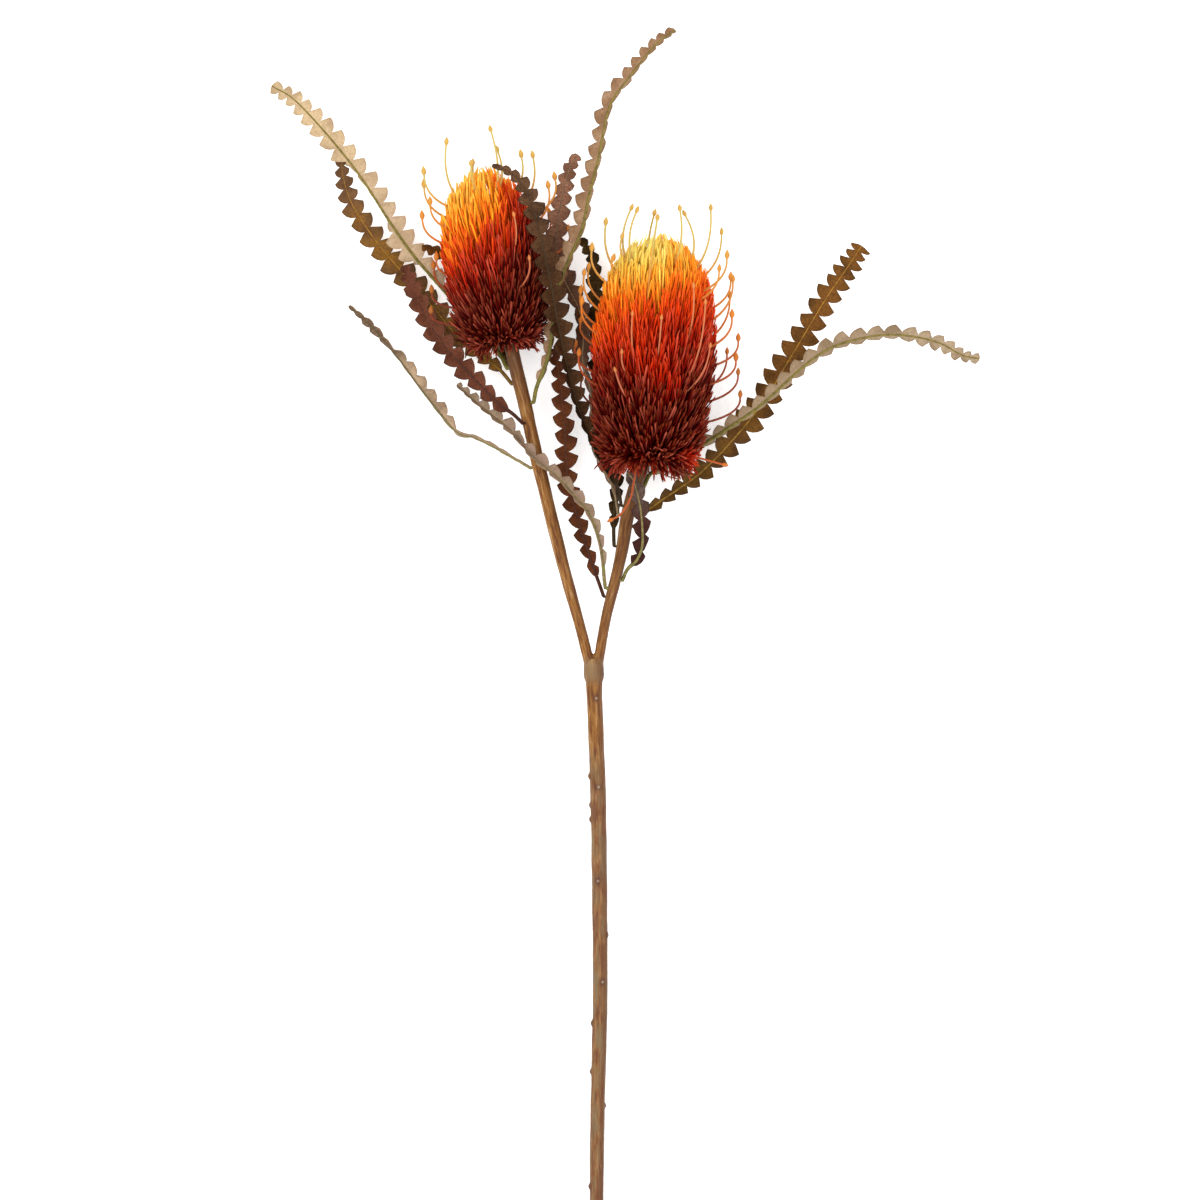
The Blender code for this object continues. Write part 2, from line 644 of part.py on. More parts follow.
def add_styles(head, styles, tree, collection):
    """Long styles with a knob at the end, from (angle round the head, root share, knob share, knob out)."""
    for around, root_share, knob_share, knob_out in styles:
        for turned in STYLE_TURNS:
            path = style_path(head, math.radians(around + turned), root_share, knob_share, knob_out)
            radii = [STYLE_RADIUS] * (STYLE_STEPS + 1) + [KNOB_RADIUS, KNOB_RADIUS, 0.0]
            if is_clear(tree, path, radii):
                three_sided("style", path, radii, STYLE_CORNER_TURN, collection)
                break


def press_flat(head_object, cutters):
    """Cuts off what would be below the surface that the head rests on."""
    shape = bmesh.new()
    bmesh.ops.create_cube(shape, size=1)
    bmesh.ops.scale(shape, vec=Vector(SURFACE_BLOCK) * MM, verts=shape.verts)
    middle = Vector((0, SURFACE_BLOCK_Y, -SURFACE_BLOCK[2] / 2))
    bmesh.ops.translate(shape, vec=middle * MM, verts=shape.verts)
    mesh = bpy.data.meshes.new("surface_below")
    shape.to_mesh(mesh)
    shape.free()
    block = mesh_object("surface_below_" + head_object.name, mesh, cutters)
    block.hide_render = True
    block.display_type = "WIRE"
    cut = head_object.modifiers.new("press_flat", "BOOLEAN")
    cut.operation = "DIFFERENCE"
    cut.solver = "MANIFOLD"
    cut.object = block


def build_head(name, head, florets, styles, tree, parent, cutters):
    """A head with (how many florets, the radius of their roots, the random seed) and its styles."""
    pieces = new_collection(name + "_pieces", parent)
    core = core_mesh(head, name, parent)
    count, root_radius, seed = florets
    add_florets(head, count, root_radius, seed, tree, pieces)
    add_styles(head, styles, tree, pieces)
    joined = join_pieces(core, pieces, material(name, FLORET_RED, FLORET_ROUGHNESS), parent)
    press_flat(joined, cutters)
    return joined


LARGE_HEAD = Head(
    (12, 90.9, 29.2), (19, 214, 33.2),
    [(-0.057, (0.7,)), (-0.03, (0.85,)), (0.03, (0.91,)), (0.12, (0.93,)), (0.3, (0.97,)), (0.5, (1.0,)),
     (0.64, (0.96,)), (0.78, (0.88,)), (0.87, (0.75,)), (0.93, (0.56,)), (0.98, (0.36,)),
     (1.0, (0.12,))], 34.3)
SMALL_HEAD = Head(
    (-66.8, 156.8, 24.4), (-79.6, 251, 26.4),
    [(-0.055, (0.66,)), (-0.03, (0.82,)), (0.04, (0.9,)), (0.18, (0.97,)), (0.35, (1.0,)), (0.5, (0.99,)),
     (0.65, (0.97,)), (0.78, (0.88,)), (0.88, (0.72,)), (0.95, (0.52,)), (1.0, (0.14,))], 28.2)

# Florets: how many, the radius of their roots, and the random seed
LARGE_FLORETS = (300, 3.9, 11)
SMALL_FLORETS = (200, 3.6, 12)

# Styles: angle round the head from its right, root share, knob share, how far out the knob is
LARGE_STYLES = [
    (10, 0.93, 1.10, 26), (-8, 0.80, 1.02, 33), (14, 0.72, 0.92, 37), (-14, 0.64, 0.85, 40),
    (5, 0.60, 0.82, 41), (20, 0.50, 0.68, 43), (-6, 0.42, 0.58, 46), (12, 0.30, 0.48, 46),
    (-10, 0.24, 0.42, 47), (3, 0.14, 0.33, 48), (165, 0.86, 1.06, 30), (192, 0.76, 0.96, 36),
    (172, 0.66, 0.86, 39), (188, 0.58, 0.79, 41), (176, 0.52, 0.72, 42), (168, 0.36, 0.54, 43),
    (190, 0.22, 0.40, 40), (60, 0.90, 1.10, 14), (110, 0.90, 1.12, 15), (250, 0.88, 1.08, 16),
    (45, 0.48, 0.72, 36), (130, 0.30, 0.50, 38), (85, 0.38, 0.62, 34), (225, 0.45, 0.66, 42),
    (318, 0.40, 0.62, 42), (300, 0.70, 0.92, 34), (-4, 0.05, 0.03, 40),
]
SMALL_STYLES = [
    (8, 0.86, 1.05, 28), (-12, 0.76, 0.91, 37), (12, 0.70, 0.86, 34), (4, 0.44, 0.59, 41),
    (-10, 0.24, 0.38, 39), (172, 0.86, 1.05, 31), (186, 0.80, 0.97, 32), (176, 0.70, 0.86, 31),
    (184, 0.62, 0.80, 35), (170, 0.38, 0.54, 32), (188, 0.22, 0.37, 36), (176, 0.10, 0.25, 38),
    (60, 0.88, 1.20, 12), (140, 0.88, 1.17, 20), (250, 0.86, 1.08, 14), (80, 0.34, 0.58, 30),
    (130, 0.40, 0.64, 31), (228, 0.45, 0.68, 34), (310, 0.45, 0.68, 34),
]


def main():
    clear_scene()
    flower = new_collection("banksia_flower", bpy.context.scene.collection)
    cutters = new_collection("cutters", bpy.context.scene.collection)
    stem = build_stem(flower)
    leaves = build_leaves(flower)
    bpy.context.view_layer.update()
    tree = obstacles([stem] + leaves)
    build_head("head_large", LARGE_HEAD, LARGE_FLORETS, LARGE_STYLES, tree, flower, cutters)
    build_head("head_small", SMALL_HEAD, SMALL_FLORETS, SMALL_STYLES, tree, flower, cutters)


main()
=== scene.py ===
"""Looks of a cut banksia stem that lies on a pale surface: woody bark, toothed leathery leaves with ribs and
veins, and two flower heads made of thousands of thin florets with long knobbed styles.

Lengths and places are in millimetres, and MM turns them into metres. The stem runs along Y with its cut end
towards -Y, X is across it and Z is up from the surface. Routes, outlines and seats are those of the solids
that the fine pieces replace.
"""

import math
import random

import bmesh
import bpy
import numpy as np
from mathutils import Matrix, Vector, noise
from mathutils.bvhtree import BVHTree


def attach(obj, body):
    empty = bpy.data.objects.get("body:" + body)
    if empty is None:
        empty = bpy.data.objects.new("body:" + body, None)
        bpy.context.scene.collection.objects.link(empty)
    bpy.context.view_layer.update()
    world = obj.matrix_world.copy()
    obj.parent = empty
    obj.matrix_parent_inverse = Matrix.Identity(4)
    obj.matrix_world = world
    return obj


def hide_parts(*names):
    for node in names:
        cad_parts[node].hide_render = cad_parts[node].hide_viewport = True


MM = 0.001
GOLDEN_ANGLE = math.pi * (3 - math.sqrt(5))

# How far past a place, as a share of a branch's or a leaf's length, its direction is read
RUN_STEP = 0.02
CURVE_STEPS = 12

# Photograph: millimetres for a pixel, the pixel over the origin, and its width in pixels
PIXEL = 0.55
ORIGIN_PIXEL = (625.5, 627.5)
PHOTO_PIXELS = 1200
# The camera's height over the level that fits the photograph's frame, and that level's own height
CAMERA_HEIGHT = 3000.0
FOCUS_HEIGHT = 30.0
# The sky's strength, the lamps as (name, place in metres, size, power), and the place they point at
SKY_STRENGTH = 1.15
LAMPS = [("key", (-0.5, 0.4, 1.5), 0.9, 9.0), ("fill", (0.7, -0.4, 1.4), 1.0, 5.0)]
LIT_PLACE = Vector((0, 0.05, 0))
# The table's half width in metres, and how far it is under the surface that the flower lies on
TABLE_HALF_WIDTH, TABLE_DEPTH = 4.0, 0.3

# Stem: where its middle runs, and its radius there
MAIN_STEM = [
    ((-16, -327, 3.9), 3.8), ((-15.4, -270, 7.4), 4.0), ((-14, -205, 11.5), 4.1), ((-14.3, -150, 15.0), 4.3),
    ((-15, -95, 18.5), 4.4), ((-16.6, -50, 21.4), 4.3), ((-17.2, -36, 22.3), 4.5), ((-17.4, -24, 23.0), 5.0),
]
LEFT_BRANCH = [
    ((-18.6, -30, 22.6), 2.6), ((-20, -20, 23.2), 2.9), ((-26, 4, 24.0), 3.0), ((-35, 37, 24.4), 3.4),
    ((-48, 90, 24.8), 3.7), ((-55, 121, 25.0), 3.8), ((-60, 142, 25.2), 3.8), ((-63.3, 156.4, 25.4), 3.9),
]
RIGHT_BRANCH = [
    ((-16.2, -30, 22.6), 2.6), ((-15, -20, 23.3), 2.8), ((-11, 4, 24.9), 2.9), ((-3, 37, 27.0), 3.3),
    ((1, 61, 28.5), 3.7), ((5.4, 78, 29.6), 3.7), ((9.2, 87.5, 30.2), 3.7), ((9.5, 90.4, 30.35), 3.7),
]
FORK_RING = [
    ((-17.3, -29, 22.7), 5.3), ((-17.4, -26, 22.9), 5.8), ((-17.5, -20, 23.3), 5.5),
    ((-17.4, -17, 23.5), 4.6),
]
# Leaf scars on the main stem: distance along Y, the angle round the stem from +X, and the radius
LEAF_SCARS = [
    (-310, 175, 2.2), (-246, 185, 2.2), (-219, 170, 2.2), (-106, 180, 2.2), (-98, 195, 2.2), (-82, 172, 2.2),
    (-170, 20, 2.2), (-265, 340, 2.2), (-39, 78, 1.2), (-88, 84, 1.3), (-140, 100, 1.1), (-196, 70, 1.3),
    (-24, 20, 2.0),
]
SCAR_SINK = 0.55
STEM_SIDES = 28
BARK_VOXEL = 0.62
# How strongly the stem's skin is smoothed, and how often
SOFTENING, SOFTENING_ROUNDS = 0.5, 3
BARK_GROOVES = 0.16
BARK_LUMPS = 0.22
STEM_STATIONS = 90
RING_STATIONS = 12
# The cut end's first millimetres have no grooves, and some of them show the pale cut
UNGROOVED_END, CUT_EDGE = 0.8, 0.5
# How fine the grooves and the lumps are, round the stem and along it, and how rough the grooves are
GROOVE_FINENESS, LUMP_FINENESS = (2.1, 0.045), (0.7, 0.06)
GROOVE_ROUGHNESS = (0.6, 2.2, 4)
# Where the ring at the fork is along Y and how far its colour reaches, how far those of a scar's rim and dot
# reach, and how strong the rim's is
COLLAR_PLACE, COLLAR_REACH, SCAR_RIM, SCAR_DOT, RIM_STRENGTH = -24.0, 7.0, 2.4, 0.8, 0.8
# The right branch darkens into painted shade, a darker brown, over this length along Y
RIGHT_SHADE_SPAN = (-20.0, 10.0)
# Past these along X and Y the bark belongs to the right branch. The branches end at their tops, along Y
FORK_X, FORK_Y = -17.5, -18.0
LEFT_TOP, RIGHT_TOP = 156.0, 97.0

# Leaves
LEAF_SEED = 21
RIB_THICKNESS = 1.7
TOOTH_PITCH = 9.6
PETIOLE_LENGTH = 12
PETIOLE_HALF_WIDTH = 1.04
PETIOLE_SHADE = 0.3
LEAF_SEAT_GAP = 0.55
BLADE_THICKNESS = 0.5
BLADE_WIDTHS = [(0.0, 0.3), (0.15, 0.55), (0.38, 0.92), (0.6, 1.0), (0.85, 0.84), (0.95, 0.6), (1.0, 0.42)]
# Share of the leaf's length, and how far apart its teeth are there as a share of their widest pitch
PITCH_SHARES = [(0.0, 0.85), (0.3, 1.0), (0.78, 1.0), (0.9, 0.72), (1.0, 0.5)]
# A tooth's outline: from its notch on the leaf's base side up to its corner, and from there down to the next
LOBE_RISE = [(0.0, 0.0), (0.05, 0.20), (0.2, 0.48), (0.45, 0.76), (0.72, 0.91), (0.88, 0.96), (1.0, 1.0)]
LOBE_FALL = [(0.0, 1.0), (0.12, 0.88), (0.4, 0.60), (0.7, 0.32), (0.9, 0.12), (1.0, 0.0)]
NOTCH_SPREAD = 0.07
# What each tooth draws: where its corner is, its height, its bend; and how far all a half's teeth may shift
TOOTH_CORNERS, TOOTH_HEIGHTS, TOOTH_BENDS = (0.62, 0.78), (0.9, 1.06), (-1.2, 0.8)
MARK_SHIFT = 0.25
TOOTH_DOME = 0.5
# How much darker a tooth may be than its neighbours, at random, and how much darker painted shade makes its
# end than its start
TOOTH_TONES, TOOTH_END_SHADE = (0.0, 0.5), 0.5
VEINS_PER_TOOTH = 3
CREASE_DEPTH = 0.1
# From this share on, a leaf narrows or widens to its own tip
TIP_START = 0.86
ACROSS_SHARES = (0.0, 0.18, 0.38, 0.6, 0.8, 0.94, 1.0)
BLADE_FIELDS = ("outwards", "vein", "along", "shade")
PETIOLE_ROWS = 5
RIB_ROOT_DEPTH = 3.2
RIB_STEPS = 90
RIB_SIDES = 10
RIB_TAPER = 0.66
RIB_ROOT_SWELL = 1.15
# How far a rib is raised, as a share of its radius, on an underside and on an upper face
RAISED_UNDER, RAISED_UPPER = 0.3, 0.15
SHARPEST_BEND = math.radians(50)
# A leaf's stalk, up to this share, has no raised rib
STALK_SHARE = 0.06

# Heads: the core's radius as a share of the outline, and its top, rings and sides
CORE_FILL = [
    (0.0, 0.34), (0.05, 0.48), (0.12, 0.64), (0.3, 0.74), (0.5, 0.73), (0.66, 0.66), (0.78, 0.56),
    (0.86, 0.4),
]
CORE_TOP, CORE_STEPS, CORE_SIDES = 0.86, 24, 48
# The core is riper than the florets that stand on it by this share of the head
CORE_LEAD = 0.08
# A floret's (height, radius) rings, and the girths and arches that it draws from
FLORET_PROFILE = [(0.0, 0.7), (0.3, 0.9), (0.55, 0.85), (0.76, 0.78), (0.93, 0.95), (1.0, 0.4)]
FLORET_SIDES = 4
FLORET_GIRTHS, FLORET_ARCHES = (0.42, 0.68), (0.02, 0.14)
FLORET_SHORTENINGS = (1.0, 0.85, 0.7, 0.55)
# How far a floret's tip may lie under the outline, how strongly tips keep near it, and how far they pass it
FLORET_DEPTH, DEPTH_LEAN, FLORET_LIFT = 5.5, 1.5, 0.5
# The least share of its length that a floret keeps where it would touch the surface
LEAST_LENGTH = 0.3
# How far florets stray from their places
SHARE_STRAY, TURN_STRAY, ROOT_STRAY, ROOT_TURN_STRAY, BELLY_STRAY = 0.03, 0.16, (-0.02, 0.03), 0.25, 0.8
# Patches of taller, riper florets, and the way that neighbours gather into tufts
PATCH_FINENESS, PATCH_HEIGHT, PATCH_RIPENESS = 0.07, 1.8, 0.05
GATHER_FINENESS, GATHER_TURN, GATHER_SHIFT = 0.16, 0.10, Vector((7.3, 1.9, 4.1))
# How far a tint reaches along a head, and round it
TINT_LENGTH, TINT_TURN = 0.1, 0.55
# Share along a head that parts its lower florets from its upper ones
UPPER_FLORETS = 0.45
# Share along a head, the chance that a floret there is longer than its neighbours, and by how much at most;
# and what share of that it draws
STRAYS = [
    (-0.06, (0.32, 4.5)), (0.06, (0.25, 3.5)), (0.16, (0.1, 2.5)), (0.8, (0.1, 2.4)), (0.92, (0.28, 3.5)),
    (1.0, (0.4, 4.0)),
]
STRAY_SPREAD = (0.3, 1.0)
# Share along a head, and how far out its florets' tips are there, as a share of the outline
BASE_PINCH = [(-0.06, 0.84), (0.06, 0.95), (0.15, 1.0)]
OUTLINE_STEPS = 200
STYLE_ROOT_DEPTH = 2.0
HIGHEST_STYLE_ROOT = 0.82
BEND_SHARE = 0.35
BEND_OUT = 1.5
STYLE_TURNS = (0, 6, -6, 12, -12, 18, -18, 25, -25)
STYLE_STEPS = 14
STYLE_SIDES = 8
# A style's thickness at its root and at its knob, as a share of its own
STYLE_TAPER = [(0.0, 1.12), (1.0, 0.88)]
# Styles in front of a head are finer and paler: their angles round it, and how far up it they end
FRONT_ANGLES, FRONT_TOP = (40, 140), 0.9
FRONT_THICKNESS, SIDE_THICKNESS, FRONT_PALENESS, FRONT_KNOB, SIDE_KNOBS = 0.5, 0.6, 0.6, 0.62, (0.8, 1.0)
KNOB_LENGTH = 5.5
KNOB_RADIUS = 1.7
# The knob: how far along it, and how thick it is there
KNOB_SHAPE = [(0.18, 1.15), (0.36, 1.5), (0.55, 1.42), (0.74, 0.95), (0.9, 0.42), (1.0, 0.12)]
# How clear of the stem and the leaves florets and styles stay, at how many places along a floret and along
# each step of a style that is checked, and how low anything reaches
CLEARANCE, STYLE_CLEARANCE, DROOPING_CLEARANCE = 0.5, 1.4, 0.9
FLORET_CHECKS, STYLE_CHECKS = 10, 2
LOWEST = 0.15
LOWEST_FLORET = 0.75

# The bark's streaks: dark to pale, below the fork and on the branches
LOWER_BARK = [
    (0.30, (0.085, 0.026, 0.009)), (0.43, (0.17, 0.062, 0.018)), (0.54, (0.24, 0.108, 0.034)),
    (0.68, (0.33, 0.178, 0.068)),
]
UPPER_BARK = [
    (0.28, (0.060, 0.016, 0.004)), (0.42, (0.16, 0.054, 0.010)), (0.56, (0.28, 0.120, 0.022)),
    (0.67, (0.40, 0.23, 0.095)),
]
# Each head's colours up its length: of the florets' upper parts, and of their roots, which are darker as
# painted shade deep among the florets
LARGE_LOOK = ([
    (0.00, (0.21, 0.007, 0.003)), (0.15, (0.115, 0.001, 0.0005)), (0.34, (0.085, 0.001, 0.0005)),
    (0.44, (0.21, 0.004, 0.001)), (0.54, (0.50, 0.012, 0.001)), (0.66, (0.78, 0.045, 0.002)),
    (0.77, (0.92, 0.15, 0.005)), (0.85, (0.97, 0.33, 0.016)), (0.92, (0.95, 0.60, 0.08)),
    (1.00, (0.90, 0.78, 0.20))], [
    (0.0, (0.03, 0.001, 0.001)), (0.45, (0.05, 0.001, 0.001)), (0.62, (0.28, 0.006, 0.001)),
    (0.76, (0.60, 0.05, 0.002)), (0.88, (0.90, 0.34, 0.012)), (1.0, (0.90, 0.55, 0.05))])
SMALL_LOOK = ([
    (0.00, (0.15, 0.008, 0.005)), (0.12, (0.095, 0.003, 0.002)), (0.34, (0.085, 0.002, 0.002)),
    (0.46, (0.19, 0.004, 0.002)), (0.57, (0.50, 0.014, 0.002)), (0.68, (0.74, 0.055, 0.003)),
    (0.78, (0.92, 0.19, 0.006)), (0.88, (1.0, 0.42, 0.02)), (1.00, (1.0, 0.62, 0.09))], [
    (0.0, (0.03, 0.001, 0.001)), (0.45, (0.05, 0.002, 0.001)), (0.62, (0.28, 0.007, 0.002)),
    (0.78, (0.60, 0.05, 0.002)), (1.0, (0.88, 0.28, 0.01))])
STYLE_RIPENESS = [
    (0.00, (0.12, 0.016, 0.010)), (0.28, (0.17, 0.022, 0.008)), (0.46, (0.38, 0.065, 0.012)),
    (0.66, (0.56, 0.15, 0.016)), (0.88, (0.58, 0.28, 0.05)), (1.05, (0.52, 0.40, 0.10)),
]
CORE_RIPENESS = [
    (0.0, (0.030, 0.002, 0.001)), (0.35, (0.045, 0.002, 0.001)), (0.5, (0.14, 0.005, 0.002)),
    (0.65, (0.38, 0.035, 0.003)), (0.78, (0.60, 0.16, 0.008)), (1.0, (0.65, 0.32, 0.03)),
]

# The leaves' faces: the colours along the rib, at the margin and in the shade, the roughness, the colour of
# rosy patches, and the end's own colour with the shares where it starts and is whole
LEAF_FACES = {
    "beige_underside": ((0.54, 0.40, 0.25), (0.52, 0.38, 0.24), (0.32, 0.21, 0.12), 0.75, (0.44, 0.30, 0.21),
        (0.55, 0.75, (0.60, 0.44, 0.25))),
    "greyed_underside": ((0.40, 0.29, 0.19), (0.38, 0.27, 0.18), (0.20, 0.13, 0.085), 0.75,
        (0.33, 0.22, 0.17)),
    "twisted_underside": ((0.44, 0.31, 0.19), (0.40, 0.27, 0.17), (0.16, 0.10, 0.06), 0.75,
        None, (0.66, 0.74, (0.060, 0.028, 0.013))),
    "rosy_underside": ((0.33, 0.195, 0.105), (0.31, 0.18, 0.095), (0.16, 0.08, 0.04), 0.75,
        (0.38, 0.25, 0.15)),
    "grey_underside": ((0.33, 0.23, 0.145), (0.31, 0.215, 0.13), (0.17, 0.11, 0.06), 0.75,
        None, (0.62, 0.9, (0.44, 0.33, 0.22))),
    "mauve_underside": ((0.17, 0.098, 0.072), (0.14, 0.075, 0.055), (0.06, 0.03, 0.022), 0.75),
    "pinkish_underside": ((0.15, 0.078, 0.045), (0.14, 0.07, 0.04), (0.07, 0.032, 0.018), 0.75,
        None, (0.66, 0.84, (0.37, 0.175, 0.105))),
    "dusky_underside": ((0.05, 0.016, 0.012), (0.07, 0.025, 0.018), (0.02, 0.006, 0.005), 0.7,
        None, (0.55, 0.8, (0.13, 0.09, 0.07))),
    "brown_upper": ((0.10, 0.045, 0.018), (0.07, 0.035, 0.018), (0.03, 0.014, 0.007)),
    "golden_upper": ((0.105, 0.048, 0.010), (0.09, 0.045, 0.016), (0.045, 0.020, 0.006), 0.55,
        (0.15, 0.075, 0.012), (0.25, 0.6, (0.20, 0.078, 0.014))),
    "tawny_upper": ((0.20, 0.090, 0.026), (0.15, 0.080, 0.036), (0.075, 0.034, 0.012), 0.55,
        (0.27, 0.12, 0.014), (0.74, 0.9, (0.17, 0.085, 0.042))),
    "purple_upper": ((0.13, 0.040, 0.020), (0.16, 0.055, 0.029), (0.045, 0.013, 0.007)),
    "chestnut_upper": ((0.13, 0.036, 0.012), (0.15, 0.046, 0.016), (0.035, 0.010, 0.004)),
    "dark_upper": ((0.055, 0.023, 0.008), (0.085, 0.036, 0.014), (0.014, 0.005, 0.002), 0.5,
        None, (0.68, 0.86, (0.14, 0.070, 0.034))),
    "olive_upper": ((0.048, 0.027, 0.007), (0.036, 0.020, 0.007), (0.014, 0.008, 0.003), 0.5,
        (0.085, 0.05, 0.012)),
}
# The edges' and ribs' colours, at the leaf's base and at its tip
RIB_COLOURS = {
    "beige_edge": ((0.30, 0.20, 0.10), (0.26, 0.17, 0.09)),
    "brown_edge": ((0.05, 0.024, 0.010), (0.045, 0.022, 0.010)),
    "dark_edge": ((0.02, 0.011, 0.005), (0.02, 0.011, 0.005)),
    "olive_rib": ((0.17, 0.145, 0.03), (0.21, 0.155, 0.035)),
    "green_rib": ((0.17, 0.155, 0.04), (0.25, 0.18, 0.075)),
    "twisted_rib": ((0.24, 0.20, 0.08), (0.04, 0.018, 0.008)),
    "golden_rib": ((0.22, 0.12, 0.02), (0.42, 0.20, 0.022)),
    "purple_rib": ((0.05, 0.016, 0.009), (0.12, 0.04, 0.022)),
    "mauve_rib": ((0.26, 0.18, 0.09), (0.22, 0.135, 0.085)),
    "dark_rib": ((0.055, 0.035, 0.013), (0.035, 0.020, 0.010)),
}


def new_object(name, data):
    made = bpy.data.objects.new(name, data)
    bpy.context.scene.collection.objects.link(made)
    return made


def finished_mesh(name, shape):
    """The mesh of a bmesh, which isn't needed any more."""
    mesh = bpy.data.meshes.new(name)
    shape.to_mesh(mesh)
    shape.free()
    return mesh


def evaluated_mesh(thing):
    """What an object's modifiers make of it, as a plain mesh."""
    return bpy.data.meshes.new_from_object(thing.evaluated_get(bpy.context.evaluated_depsgraph_get()))


def close_rings(shape, rings):
    """Skins rings of vertices into a tube that is closed at both ends."""
    for low, high in zip(rings, rings[1:]):
        for side in range(len(low)):
            following = (side + 1) % len(low)
            shape.faces.new((low[side], low[following], high[following], high[side]))
    shape.faces.new(rings[0][::-1])
    shape.faces.new(rings[-1])


def turns(sides):
    """Angles spaced evenly round a circle."""
    return [2 * math.pi * side / sides for side in range(sides)]


def sides_of(run):
    """The ways to the right of a run and up from it."""
    right = run.cross(Vector((0, 0, 1))).normalized()
    return right, right.cross(run)


def way_out(run, around):
    """The way out from a run, at an angle from its right."""
    right, up = sides_of(run)
    return right * math.cos(around) + up * math.sin(around)


def smooth_points(route, count):
    """Points spaced evenly along a smooth curve through the route's own points."""
    knots = [Vector(place) for place in route]
    ends = [2 * knots[0] - knots[1]] + knots + [2 * knots[-1] - knots[-2]]
    fine = []
    for before, start, end, after in zip(ends, ends[1:], ends[2:], ends[3:]):
        for step in range(CURVE_STEPS):
            u = step / CURVE_STEPS
            straight = start * 2 + (end - before) * u
            bend = (before * 2 - start * 5 + end * 4 - after) * u**2
            twist = (start * 3 - before - end * 3 + after) * u**3
            fine.append((straight + bend + twist) / 2)
    fine.append(knots[-1])
    lengths = np.cumsum([0.0] + [(end - start).length for start, end in zip(fine, fine[1:])])
    wanted = lengths[-1] * np.arange(count) / (count - 1)
    columns = [np.interp(wanted, lengths, column) for column in np.array(fine).T]
    return [Vector(place) for place in zip(*columns)]


def between(pairs, share):
    """The value at a share of the way along a list of (share, value), read in straight lines."""
    shares = [pair[0] for pair in pairs]
    values = np.array([pair[1] for pair in pairs], float)
    if values.ndim == 1:
        return float(np.interp(share, shares, values))
    return [float(np.interp(share, shares, column)) for column in values.T]


def stem_place(stations, share):
    """The middle and the radius of a branch at a share of its length, read along Y."""
    start, end = stations[0][0][1], stations[-1][0][1]
    rows = [(place[1], (*place, radius)) for place, radius in stations]
    *middle, radius = between(rows, start + (end - start) * share)
    return Vector(middle), radius


def mesh_places(mesh):
    """A mesh's points as rows of X, Y and Z in metres."""
    places = np.empty(len(mesh.vertices) * 3)
    mesh.vertices.foreach_get("co", places)
    return places.reshape(-1, 3)


def set_attribute(mesh, name, values, kind="FLOAT"):
    field = "vector" if kind == "FLOAT_VECTOR" else "value"
    mesh.attributes.new(name, kind, "POINT").data.foreach_set(field, np.asarray(values, np.float32).ravel())


def marked_mesh(name, places, edges, facts):
    """A mesh of points in metres, with edges between them. Each point carries its {field: value} facts."""
    mesh = bpy.data.meshes.new(name)
    mesh.from_pydata([tuple(place) for place in places], edges, [])
    for field, sample in facts[0].items():
        kind = "FLOAT_VECTOR" if isinstance(sample, tuple) else "FLOAT"
        set_attribute(mesh, field, [fact[field] for fact in facts], kind)
    return mesh


def add_node(tree, kind, wires=(), **settings):
    """Adds a node. Each socket that the wires name takes another node's output or a plain value."""
    made = tree.nodes.new(kind)
    for key, value in settings.items():
        setattr(made, key, value)
    for socket, value in dict(wires).items():
        if isinstance(value, bpy.types.NodeSocket):
            tree.links.new(value, made.inputs[socket])
        else:
            made.inputs[socket].default_value = value
    return made


class Finish:
    """A surface finish: a Principled shader with the nodes that colour it and raise its grain."""

    def __init__(self, name, **sockets):
        self.material = bpy.data.materials.new(name)
        self.material.use_nodes = True
        self.tree = self.material.node_tree
        self.shader = self.tree.nodes["Principled BSDF"]
        for socket, value in sockets.items():
            self.shader.inputs[socket.replace("_", " ")].default_value = value

    def node(self, kind, wires=(), **settings):
        return add_node(self.tree, kind, wires, **settings)

    def attribute(self, name):
        return self.node("ShaderNodeAttribute", attribute_name=name).outputs["Fac"]

    def place(self):
        """The surface's own coordinates in metres."""
        return self.node("ShaderNodeTexCoord").outputs["Object"]

    def noise(self, where, scale, detail=3.0, roughness=0.55):
        wires = {"Vector": where, "Scale": scale, "Detail": detail, "Roughness": roughness}
        return self.node("ShaderNodeTexNoise", wires).outputs["Fac"]

    def ramp(self, factor, stops):
        made = self.node("ShaderNodeValToRGB", {"Fac": factor})
        elements = made.color_ramp.elements
        while len(elements) < len(stops):
            elements.new(1.0)
        for element, (position, colour) in zip(elements, stops):
            element.position = position
            element.color = (*colour, 1.0)
        return made.outputs["Color"]

    def curve(self, factor, stops):
        """A plain number read from (factor, value) stops."""
        return self.ramp(factor, [(position, (value,) * 3) for position, value in stops])

    def layered(self, ground, *layers):
        """Lays colours over a ground. Each is (colour, where it lies, stops that make that a share)."""
        for colour, where, *stops in layers:
            where = self.attribute(where) if isinstance(where, str) else where
            wires = {0: self.curve(where, stops) if stops else where}
            for socket, value in ((6, ground), (7, colour)):
                wires[socket] = value if isinstance(value, bpy.types.NodeSocket) else (*value, 1.0)
            ground = self.node("ShaderNodeMix", wires, data_type="RGBA").outputs[2]
        return ground

    def math(self, operation, first, second):
        return self.node("ShaderNodeMath", {0: first, 1: second}, operation=operation).outputs[0]

    def scaled(self, value, scale):
        return self.math("MULTIPLY", value, scale)

    def colour(self, value):
        self.tree.links.new(value, self.shader.inputs["Base Color"])

    def bump(self, height, depth):
        """Raises the surface by up to so many millimetres."""
        made = self.node("ShaderNodeBump", {"Height": height, "Distance": depth * MM, "Strength": 1.0})
        self.tree.links.new(made.outputs["Normal"], self.shader.inputs["Normal"])


